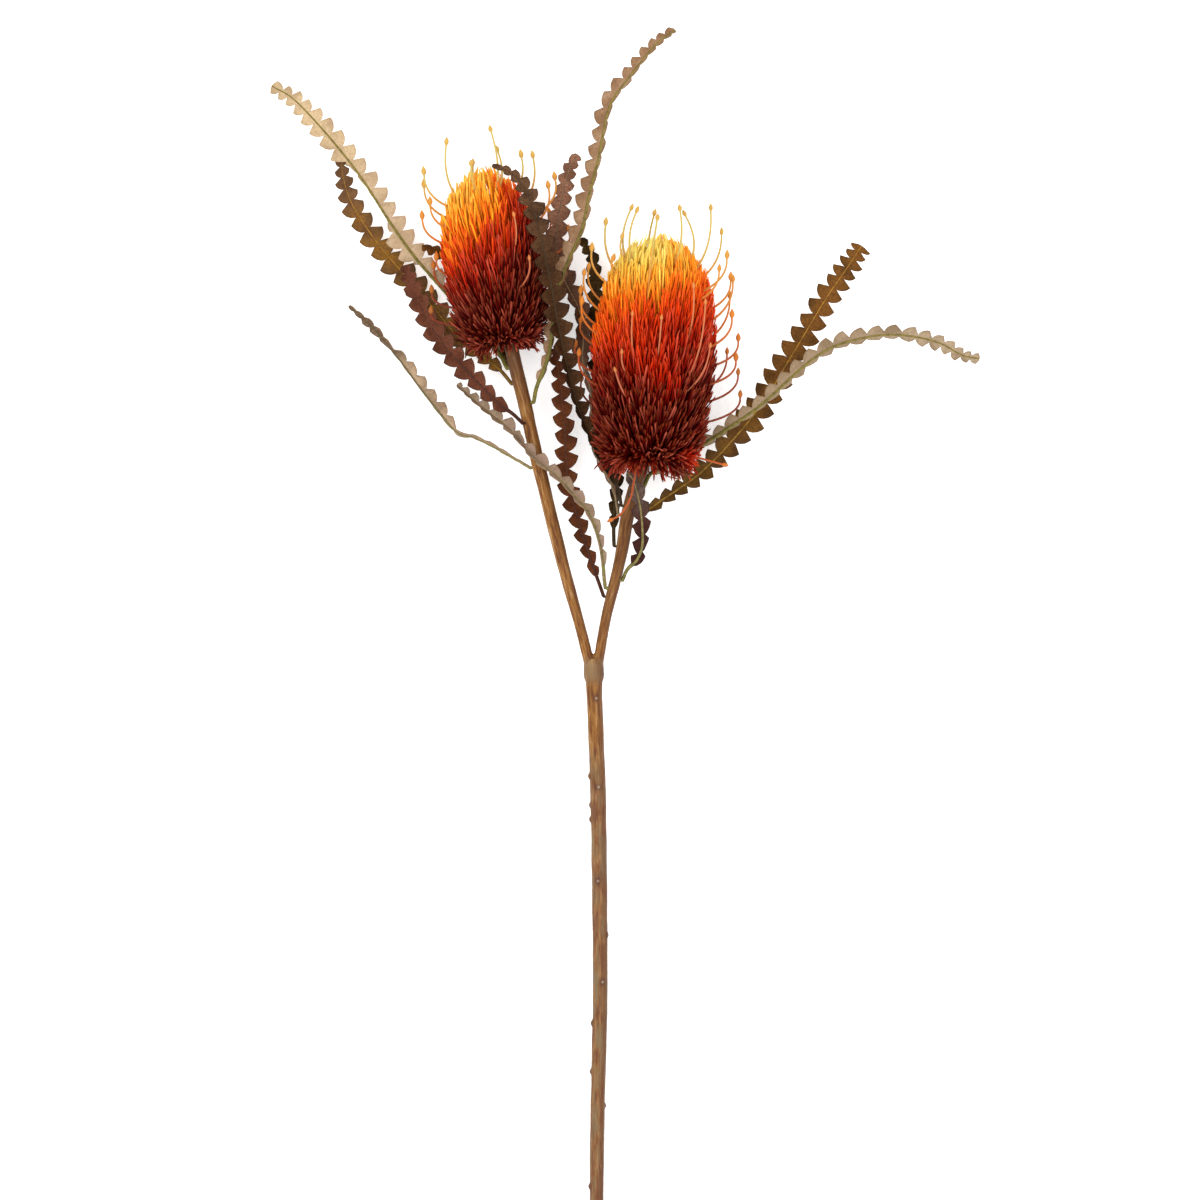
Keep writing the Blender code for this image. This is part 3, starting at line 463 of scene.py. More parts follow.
def bark_finish():
    """Tan to orange-brown bark with long streaks, greyer low down and purple-brown under the heads, with
    painted shade on the right side of each branch and over the whole right branch.
    """
    bark = Finish("bark", Roughness=0.55, Specular_IOR_Level=0.2)
    way = bark.node("ShaderNodeCombineXYZ", {
        "X": bark.attribute("round_x"), "Y": bark.attribute("round_y"), "Z": bark.attribute("along")})
    long_way, patch_way = [
        bark.node("ShaderNodeMapping", {"Vector": way.outputs[0], "Scale": (1, 1, stretch)}).outputs[0]
        for stretch in (0.12, 0.25)]
    streaks = bark.noise(long_way, 0.75, 5.0, 0.62)
    patches = bark.noise(patch_way, 0.22, 3.0)
    fibres = bark.noise(long_way, 3.2, 4.0, 0.7)
    # Painted shade: the bark is darker towards each branch's right side, as if lit from the left
    right_side_shade = bark.math("ADD", bark.scaled(bark.attribute("round_x"), 0.12), 0.5)
    bark.colour(bark.layered(
        bark.ramp(streaks, LOWER_BARK),
        ((0.17, 0.125, 0.065), patches, (0.44, 0.0), (0.62, 0.75)),
        ((0.12, 0.042, 0.020), patches, (0.36, 0.75), (0.47, 0.0)),
        (bark.ramp(streaks, UPPER_BARK), "height", (0.50, 0.0), (0.56, 1.0)),
        ((0.070, 0.026, 0.013), "height", (0.92, 0.0), (0.98, 0.7)),
        ((0.20, 0.135, 0.07), "collar", (0.2, 0.0), (0.8, 0.7)),
        ((0.095, 0.032, 0.010), right_side_shade, (0.55, 0.0), (0.82, 0.62)),
        # Painted shade: the whole right branch is darker
        ((0.10, 0.036, 0.010), bark.scaled(bark.attribute("right_branch"), 0.4)),
        ((0.06, 0.016, 0.010), "scar_rim"), ((0.34, 0.25, 0.18), "scar_dot"), ((0.34, 0.24, 0.14), "cut"),
        ((0.05, 0.022, 0.010), fibres, (0.35, 0.16), (0.6, 0.0))))
    bark.tree.links.new(bark.curve(streaks, [(0.3, 0.62), (0.7, 0.42)]), bark.shader.inputs["Roughness"])
    bark.bump(fibres, 0.15)
    return bark.material


def leaf_face(name, centre, margin, dark, roughness=0.6, rosy=None, end=None):
    """A leaf's face: its colour goes from the rib to the margins, with side veins and fine specks. An end is
    (share where it starts, share where it is whole, colour), for the part nearest the leaf's tip."""
    face = Finish(name, Roughness=roughness, Specular_IOR_Level=0.05)
    way = face.place()
    clouds = face.noise(way, 70.0, 3.0)
    specks = face.noise(way, 900.0, 2.0, 0.6)
    net = face.node("ShaderNodeTexVoronoi", {"Vector": way, "Scale": 720.0}, feature="DISTANCE_TO_EDGE")
    fine_net = face.curve(net.outputs["Distance"], [(0.0, 1.0), (0.12, 0.0)])
    veins, outwards = face.attribute("vein"), face.attribute("outwards")
    ragged = face.math("ADD", outwards, face.scaled(face.math("SUBTRACT", clouds, 0.5), 0.8))
    layers = [(margin, ragged, (0.4, 0.0), (0.9, 1.0))]
    if rosy:
        layers.append((rosy, clouds, (0.47, 0.0), (0.6, 0.85)))
    if end:
        start, whole, colour = end
        layers.append((colour, "along", (start, 0.0), (whole, 0.9)))
    face.colour(face.layered(
        centre, *layers, (dark, "shade", (0.2, 0.0), (0.9, 0.6)), (dark, clouds, (0.36, 0.6), (0.52, 0.0)),
        (dark, specks, (0.38, 0.5), (0.52, 0.0)), (dark, face.scaled(fine_net, 0.2)),
        (margin, face.scaled(veins, 0.3)), (dark, outwards, (0.9, 0.0), (0.985, 0.8))))
    relief = face.math("ADD", face.scaled(veins, 0.7), face.scaled(fine_net, -0.3))
    face.bump(face.math("ADD", relief, face.scaled(specks, 0.35)), 0.3)
    return face.material


def rib_finish(name, low, high):
    """A rib, or a leaf's edge: its colour goes from its base to its tip, with long grooves."""
    rib = Finish(name, Roughness=0.5, Specular_IOR_Level=0.15)
    grooves = rib.noise(rib.place(), 420.0, 2.0)
    shaded = tuple(value * 0.45 for value in low)
    rib.colour(rib.layered(low, (high, "along"), (shaded, grooves, (0.4, 0.6), (0.55, 0.0))))
    rib.bump(grooves, 0.12)
    return rib.material


def floret_finish(name, stops, root_shade_stops):
    """Florets: coloured by how ripe they are up the head, darker at their roots as painted shade among them,
    with bright tips and painted pink glints on some.
    """
    petal = Finish(name, Roughness=0.4, Specular_IOR_Level=0.04)
    ripeness, height, tone = [petal.attribute(fact) for fact in ("ripe", "height", "tone")]
    # Painted shade: the roots' darker colours stand for the shade deep among the florets
    root = petal.ramp(ripeness, root_shade_stops)
    bright = petal.scaled(petal.curve(height, [(0.85, 0.0), (0.95, 1.0)]), 0.08)
    glint = petal.math("MULTIPLY", petal.curve(tone, [(0.72, 0.0), (1.0, 0.5)]),
                       petal.curve(ripeness, [(0.5, 1.0), (0.75, 0.2)]))
    lit = petal.math("MULTIPLY", glint, petal.curve(height, [(0.5, 0.0), (0.75, 1.0)]))
    petal.colour(petal.layered(
        petal.ramp(ripeness, stops), (root, height, (0.0, 1.0), (0.4, 0.7), (0.75, 0.2), (0.92, 0.0)),
        (root, tone, (0.0, 0.9), (0.42, 0.0)), ((0.95, 0.24, 0.06), bright), ((0.60, 0.12, 0.07), lit)))
    petal.bump(petal.noise(petal.place(), 1500.0, 2.0), 0.06)
    return petal.material


def style_finish(name):
    """Styles: glossy wires that take the colour of their height, with brighter knobs."""
    wire = Finish(name, Roughness=0.32, Specular_IOR_Level=0.15)
    specks = wire.noise(wire.place(), 1400.0, 2.0)
    wire.colour(wire.layered(
        wire.ramp(wire.attribute("ripe"), STYLE_RIPENESS), ((0.55, 0.17, 0.09), "pale"),
        ((0.66, 0.26, 0.03), wire.scaled(wire.attribute("knob"), 0.35)),
        ((0.35, 0.09, 0.02), specks, (0.35, 0.35), (0.55, 0.0))))
    wire.bump(specks, 0.08)
    return wire.material


def core_finish():
    """The felted middle of a head: as ripe as the florets that stand on it, but in their shade."""
    core = Finish("head_core", Roughness=0.9, Specular_IOR_Level=0.02)
    grain = core.noise(core.place(), 500.0, 3.0)
    core.colour(core.layered(
        core.ramp(core.attribute("ripe"), CORE_RIPENESS),
        ((0.020, 0.003, 0.002), grain, (0.35, 0.5), (0.65, 0.0))))
    core.bump(grain, 0.5)
    return core.material


class Growth:
    """A Geometry Nodes tree with named inputs, which ends by smoothing and finishing what it made."""

    def __init__(self, name, **sizes):
        self.tree = bpy.data.node_groups.new(name, "GeometryNodeTree")
        for label, kind in {"Geometry": "Geometry", **sizes, "Finish": "Material"}.items():
            self.tree.interface.new_socket(label, in_out="INPUT", socket_type="NodeSocket" + kind)
        self.tree.interface.new_socket("Geometry", in_out="OUTPUT", socket_type="NodeSocketGeometry")
        self.given = self.tree.nodes.new("NodeGroupInput").outputs

    def node(self, kind, wires=(), **settings):
        return add_node(self.tree, kind, wires, **settings).outputs

    def stored(self, name, kind="FLOAT"):
        return self.node("GeometryNodeInputNamedAttribute", {"Name": name}, data_type=kind)["Attribute"]

    def multiply(self, first, second):
        return self.node("ShaderNodeMath", {0: first, 1: second}, operation="MULTIPLY")[0]

    def finished(self, geometry):
        smooth = self.node("GeometryNodeSetShadeSmooth", {"Geometry": geometry})
        dressed = self.node("GeometryNodeSetMaterial", {
            "Geometry": smooth["Geometry"], "Material": self.given["Finish"]})
        self.node("NodeGroupOutput", {"Geometry": dressed["Geometry"]})
        return self.tree


def swept_tree():
    """Geometry Nodes: sweeps a round section along every chain of edges, as thick as they say."""
    growth = Growth("swept_strands", Sides="Int")
    lines = growth.node("GeometryNodeMeshToCurve", {"Mesh": growth.given["Geometry"]})
    section = growth.node("GeometryNodeCurvePrimitiveCircle", {
        "Resolution": growth.given["Sides"], "Radius": 1.0})
    sweep = growth.node("GeometryNodeCurveToMesh", {
        "Curve": lines["Curve"], "Profile Curve": section["Curve"], "Scale": growth.stored("thickness"),
        "Fill Caps": True})
    return growth.finished(sweep["Mesh"])


def floret_tree():
    """Geometry Nodes: stands a floret on every point, turned and sized as the point says, and arches it."""
    growth = Growth("florets", Floret="Object")
    way, belly = [growth.stored(name, "FLOAT_VECTOR") for name in ("way", "belly")]
    girth, reach, height, arch = [growth.stored(name) for name in ("girth", "reach", "height", "arch")]
    floret = growth.node("GeometryNodeObjectInfo", {"Object": growth.given["Floret"]})
    turn = growth.node("FunctionNodeAxesToRotation", {"Primary Axis": way, "Secondary Axis": belly},
                       primary_axis="Z", secondary_axis="X")
    size = growth.node("ShaderNodeCombineXYZ", {"X": girth, "Y": girth, "Z": reach})
    stand = growth.node("GeometryNodeInstanceOnPoints", {
        "Points": growth.given["Geometry"], "Instance": floret["Geometry"],
        "Rotation": turn["Rotation"], "Scale": size["Vector"]})
    real = growth.node("GeometryNodeRealizeInstances", {"Geometry": stand["Instances"]})
    rest = growth.node("ShaderNodeMath", {0: 1.0, 1: height}, operation="SUBTRACT")[0]
    crest = growth.multiply(growth.multiply(height, rest), 4.0)
    bulge = growth.multiply(growth.multiply(crest, reach), arch)
    shift = growth.node("ShaderNodeVectorMath", {0: belly, "Scale": bulge}, operation="SCALE")
    arched = growth.node("GeometryNodeSetPosition", {"Geometry": real["Geometry"], "Offset": shift["Vector"]})
    return growth.finished(arched["Geometry"])


def grow(name, mesh, tree, **sizes):
    """Runs a Geometry Nodes tree on a mesh and returns the result as a plain mesh object."""
    guide = new_object(name + "_guide", mesh)
    modifier = guide.modifiers.new("grow", "NODES")
    modifier.node_group = tree
    keys = {item.name: item.identifier for item in tree.interface.items_tree if item.in_out == "INPUT"}
    for label, value in sizes.items():
        modifier[keys[label]] = value
    grown = evaluated_mesh(guide)
    bpy.data.objects.remove(guide, do_unlink=True)
    grown.name = name
    return new_object(name, grown)


def line_mesh(name, strands):
    """A mesh of edge chains. Each strand is a list of (place, {field: value})."""
    edges, first = [], 0
    for strand in strands:
        edges += [(index, index + 1) for index in range(first, first + len(strand) - 1)]
        first += len(strand)
    rows = [row for strand in strands for row in strand]
    places = [[value * MM for value in place] for place, _ in rows]
    return marked_mesh(name, places, edges, [facts for _, facts in rows])


def keep_above_surface(thing):
    """Lifts what dips below the surface that the flower lies on back to just above it."""
    places = mesh_places(thing.data)
    places[:, 2] = np.maximum(places[:, 2], LOWEST * MM)
    thing.data.vertices.foreach_set("co", places.ravel())
    thing.data.update()


def tube_into(shape, stations):
    """Adds a closed round tube along (place, radius) stations to a bmesh."""
    places = [place for place, _ in stations]
    rings = []
    for index, (place, radius) in enumerate(stations):
        run = (places[min(index + 1, len(places) - 1)] - places[max(index - 1, 0)]).normalized()
        rings.append([
            shape.verts.new((place + way_out(run, turn) * radius) * MM) for turn in turns(STEM_SIDES)])
    close_rings(shape, rings)


def fine_stations(stations, count):
    """A branch's places and radii, spaced evenly on a smooth curve."""
    radii = [(place[1], radius) for place, radius in stations]
    places = smooth_points([place for place, _ in stations], count)
    return [(place, between(radii, place.y)) for place in places]


def stem_skin(branches):
    """One skin over the branches' tubes, the ring at the fork and the leaf scars, and the scars' places."""
    shape = bmesh.new()
    for stations in branches + [fine_stations(FORK_RING, RING_STATIONS)]:
        tube_into(shape, stations)
    start, end = MAIN_STEM[0][0][1], MAIN_STEM[-1][0][1]
    scars = []
    for along, around, radius in LEAF_SCARS:
        middle, stem_radius = stem_place(MAIN_STEM, (along - start) / (end - start))
        outward = Vector((math.cos(math.radians(around)), 0, math.sin(math.radians(around))))
        bud = bmesh.ops.create_icosphere(shape, subdivisions=3, radius=radius * MM)
        centre = middle + outward * (stem_radius - radius * SCAR_SINK)
        bmesh.ops.translate(shape, verts=bud["verts"], vec=centre * MM)
        scars.append(middle + outward * (stem_radius + radius * (1 - SCAR_SINK)))
    tubes = new_object("stem_tubes", finished_mesh("stem_tubes", shape))
    skin = tubes.modifiers.new("skin", "REMESH")
    skin.mode, skin.voxel_size = "VOXEL", BARK_VOXEL * MM
    soften = tubes.modifiers.new("soften", "SMOOTH")
    soften.factor, soften.iterations = SOFTENING, SOFTENING_ROUNDS
    mesh = evaluated_mesh(tubes)
    bpy.data.objects.remove(tubes, do_unlink=True)
    return mesh, scars


def build_stem():
    """The whole woody stem: its skin with shallow grooves, and the facts that the bark's finish reads."""
    branches = [fine_stations(stations, STEM_STATIONS) for stations in (MAIN_STEM, LEFT_BRANCH, RIGHT_BRANCH)]
    mesh, scars = stem_skin(branches)
    centres = np.array([place for stations in branches for place, _ in stations])
    radii = np.array([radius for stations in branches for _, radius in stations])
    runs = np.concatenate([
        np.gradient(np.array([place for place, _ in stations]), axis=0) for stations in branches])
    runs /= np.linalg.norm(runs, axis=1)[:, None]
    places = mesh_places(mesh) / MM
    along = places[:, 1].copy()
    start = MAIN_STEM[0][0][1]
    gaps = np.linalg.norm(places[:, None, :] - centres[None, :, :], axis=2) / radii[None, :]
    rounds = []
    for index, near in enumerate(gaps.argmin(axis=1)):
        run = Vector(runs[near])
        offset = Vector(places[index] - centres[near])
        offset -= run * offset.dot(run)
        right, up = sides_of(run)
        turn = math.atan2(offset.dot(up), offset.dot(right))
        across, above = math.cos(turn), math.sin(turn)
        rounds.append((across * radii[near], above * radii[near]))
        grain, lump = [
            Vector((across * fine, above * fine, along[index] * long))
            for fine, long in (GROOVE_FINENESS, LUMP_FINENESS)]
        if along[index] > start + UNGROOVED_END:
            height = BARK_GROOVES * noise.fractal(grain, *GROOVE_ROUGHNESS) + BARK_LUMPS * noise.noise(lump)
            places[index] += np.array(offset.normalized()) * height
    mesh.vertices.foreach_set("co", (places * MM).ravel())
    mesh.update()
    high = places[:, 1]
    right_side = places[:, 0] > FORK_X
    ends = np.where(right_side & (high >= FORK_Y), RIGHT_TOP, LEFT_TOP)
    far = [np.linalg.norm(places - np.array(scar), axis=1) for scar in scars]
    fields = {
        "round_x": [across for across, _ in rounds], "round_y": [above for _, above in rounds],
        "along": along,
        "height": (high - start) / (ends - start),
        # Painted shade over the right branch, which the bark's finish darkens
        "right_branch": np.where(right_side, np.interp(high, RIGHT_SHADE_SPAN, (0.0, 1.0)), 0.0),
        "collar": np.exp(-((high - COLLAR_PLACE) / COLLAR_REACH)**2),
        "scar_rim": np.max([RIM_STRENGTH * np.exp(-(gap / SCAR_RIM)**2) for gap in far], axis=0),
        "scar_dot": np.max([np.exp(-(gap / SCAR_DOT)**4) for gap in far], axis=0),
        "cut": high < start + CUT_EDGE}
    for name, values in fields.items():
        set_attribute(mesh, name, values)
    mesh.shade_smooth()
    mesh.materials.append(bark_finish())
    return new_object("woody_stem", mesh)


def seat(stations, along_y, around):
    """Where a leaf's base sits beside a branch, and the way from the branch's middle to it."""
    start, end = stations[0][0][1], stations[-1][0][1]
    share = (along_y - start) / (end - start)
    middle, radius = stem_place(stations, share)
    ahead, _ = stem_place(stations, min(share + RUN_STEP, 1.0))
    behind, _ = stem_place(stations, share - RUN_STEP)
    outward = way_out((ahead - behind).normalized(), math.radians(around))
    return middle + outward * (radius + LEAF_SEAT_GAP + RIB_THICKNESS / 2), outward


class Leaf:
    """A leaf's own facts: the branch, and where on it the leaf sits, as (distance along Y, angle); its route;
    its half width; the lifts of its right and left halves, in degrees; the finishes of its face, back, edge
    and rib; its rib's radius; its slot, which is not used; how deep its notches leave it; and how wide its
    tip is."""

    def __init__(self, name, branch, seat_place, route, half_width, lifts, finish, rib_radius, slot,
                 notch=0.3, tip=1.0):
        self.name, self.half_width, self.finish, self.slot = name, half_width, finish, slot
        self.lifts, self.rib_radius, self.notch, self.tip = lifts, rib_radius, notch, tip
        base, self.outward = seat(branch, *seat_place)
        self.route = [base] + [Vector(place) for place in route]
        self.length = sum((end - start).length for start, end in zip(self.route, self.route[1:]))
        self.samples = round(self.length)
        self.path = smooth_points(self.route, self.samples + 1)

    def on_path(self, share):
        at = min(max(share, 0.0), 1.0) * self.samples
        index = min(int(at), self.samples - 1)
        return self.path[index].lerp(self.path[index + 1], at - index)

    def side(self, share, side):
        """The way out to the right, 0, or left, 1, edge, and the way that this half faces."""
        run = (self.on_path(share + RUN_STEP) - self.on_path(share - RUN_STEP)).normalized()
        right, up = sides_of(run)
        lift = math.radians(between(self.lifts, share)[side])
        sign = 1 - 2 * side
        out = right * (sign * math.cos(lift)) + up * math.sin(lift)
        return out, out.cross(run) * sign

    def tooth_marks(self, shift):
        """Shares of the length where one tooth ends and the next begins. They crowd towards the tip."""
        first = PETIOLE_LENGTH / self.length
        marks = [first]
        while marks[-1] < 1:
            marks.append(marks[-1] + TOOTH_PITCH * between(PITCH_SHARES, marks[-1]) / self.length)
        stretch = (1 - first) / (marks[-1] - first)
        marks = [first + (mark - first) * stretch for mark in marks]
        pitch = marks[1] - first
        return [first] + [mark + shift * pitch for mark in marks[1:-1]] + [1.0]


def lobe_rows(corner):
    """A tooth's outline as (phase, share of its height), from its notch to just before the next."""
    rise = [(phase * corner, height) for phase, height in LOBE_RISE]
    fall = [(corner + phase * (1 - corner), height) for phase, height in LOBE_FALL]
    return rise + fall[1:-1]


def blade_rows(leaf, draw):
    """Rows up one half of a blade: (share, half width, phase within the tooth, bend of the tooth, shade)."""
    marks = leaf.tooth_marks(draw.uniform(-MARK_SHIFT, MARK_SHIFT))
    rows = [(marks[0] * row / PETIOLE_ROWS, PETIOLE_HALF_WIDTH, 0.0, 0.0, PETIOLE_SHADE)
            for row in range(PETIOLE_ROWS)]
    for start, end in zip(marks, marks[1:]):
        corner, tall, bend = [draw.uniform(*span) for span in (TOOTH_CORNERS, TOOTH_HEIGHTS, TOOTH_BENDS)]
        notch_share = leaf.notch + draw.uniform(-NOTCH_SPREAD, NOTCH_SPREAD)
        tone = draw.uniform(*TOOTH_TONES)
        for phase, height in lobe_rows(corner):
            share = start + (end - start) * phase
            full = leaf.half_width * between(BLADE_WIDTHS, share) * tall
            full *= between([(TIP_START, 1.0), (1.0, leaf.tip)], share)
            notch = max(PETIOLE_HALF_WIDTH, full * notch_share)
            out = notch + max(full - notch, 0.0) * height
            # A row's shade is its tooth's random tone plus painted shade that grows towards the tooth's end
            rows.append((share, out, phase, bend, tone + TOOTH_END_SHADE * phase))
    return rows


def half_blade(leaf, side, draw, sheet):
    """One half of a blade as an open sheet, in rows along the rib and columns out to the toothed edge."""
    layers = [sheet.verts.layers.float[field] for field in BLADE_FIELDS]

    def vertex(place, *facts):
        made = sheet.verts.new(place * MM)
        for layer, fact in zip(layers, facts):
            made[layer] = fact
        return made

    def face(*corners):
        sheet.faces.new(corners[::-1] if side else corners)

    grid = []
    for share, out, phase, bend, shade in blade_rows(leaf, draw):
        way, facing = leaf.side(share, side)
        crease = math.cos(2 * math.pi * VEINS_PER_TOOTH * phase)
        line = []
        for part in ACROSS_SHARES:
            reach = out * part / leaf.half_width
            rise = bend * reach**2 + CREASE_DEPTH * crease * min(1.0, 4 * part) * (1 - part)
            rise += TOOTH_DOME * math.sin(math.pi * phase) * math.sin(math.pi * part) * reach
            line.append(vertex(leaf.on_path(share) + way * (out * part) + facing * rise,
                               part, max(crease, 0.0)**3 * (1 - part * 0.6), share, shade * part))
        grid.append(line)
    for low, high in zip(grid, grid[1:]):
        for column in range(len(low) - 1):
            face(low[column], low[column + 1], high[column + 1], high[column])
    tip = vertex(leaf.on_path(1.0), 1.0, 0.0, 1.0, 0.0)
    for inner, outer in zip(grid[-1], grid[-1][1:]):
        face(inner, outer, tip)


def blade_mesh(leaf, draw):
    """Both halves of a blade. Their inner edges meet inside the rib."""
    sheet = bmesh.new()
    for field in BLADE_FIELDS:
        sheet.verts.layers.float.new(field)
    for side in (0, 1):
        half_blade(leaf, side, draw, sheet)
    return finished_mesh(leaf.name + "_blade", sheet)


def rib_strand(leaf):
    """The rib's line from inside the branch to the leaf's tip, with its thickness. It stands out most on an
    underside."""
    raised = RAISED_UNDER if leaf.finish[0].endswith("underside") else RAISED_UPPER
    root = leaf.route[0] - leaf.outward * RIB_ROOT_DEPTH
    strand = [(root, {"thickness": leaf.rib_radius * RIB_ROOT_SWELL * MM, "along": 0.0})]
    for step in range(RIB_STEPS + 1):
        share = step / RIB_STEPS
        radius = leaf.rib_radius * (1 - RIB_TAPER * share)
        up = (leaf.side(share, 0)[1] + leaf.side(share, 1)[1]).normalized()
        place = leaf.on_path(share) + up * (raised * radius if share > STALK_SHARE else 0.0)
        strand.append((place, {"thickness": radius * MM, "along": share}))
    return strand


def build_leaf(leaf, sweep, finishes, draw):
    """One leaf: a thin solid blade with an upper face, an underside and an edge, and its rib."""
    face, back, edge, rib_look = [finishes[name] for name in leaf.finish]
    blade = new_object(leaf.name + "_toothed", blade_mesh(leaf, draw))
    for finish in (face, back, edge):
        blade.data.materials.append(finish)
    thick = blade.modifiers.new("thickness", "SOLIDIFY")
    thick.thickness, thick.offset = BLADE_THICKNESS * MM, 0.0
    thick.material_offset, thick.material_offset_rim = 1, 2
    mesh = evaluated_mesh(blade)
    blade.modifiers.clear()
    blade.data = mesh
    mesh.shade_smooth()
    strand = line_mesh(leaf.name + "_rib_line", [rib_strand(leaf)])
    rib = grow(leaf.name + "_rib", strand, sweep, Sides=RIB_SIDES, Finish=rib_look)
    with bpy.context.temp_override(active_object=blade, selected_editable_objects=[blade, rib]):
        bpy.ops.object.join()
    blade.data.set_sharp_from_angle(angle=SHARPEST_BEND)
    keep_above_surface(blade)
    return blade


PALE_LEAF = "leaf_pale_underside"
GOLDEN_LEAF = "leaf_golden_brown"
PURPLE_LEAF = "leaf_purple_brown"
DARK_LEAF = "leaf_dark_brown"

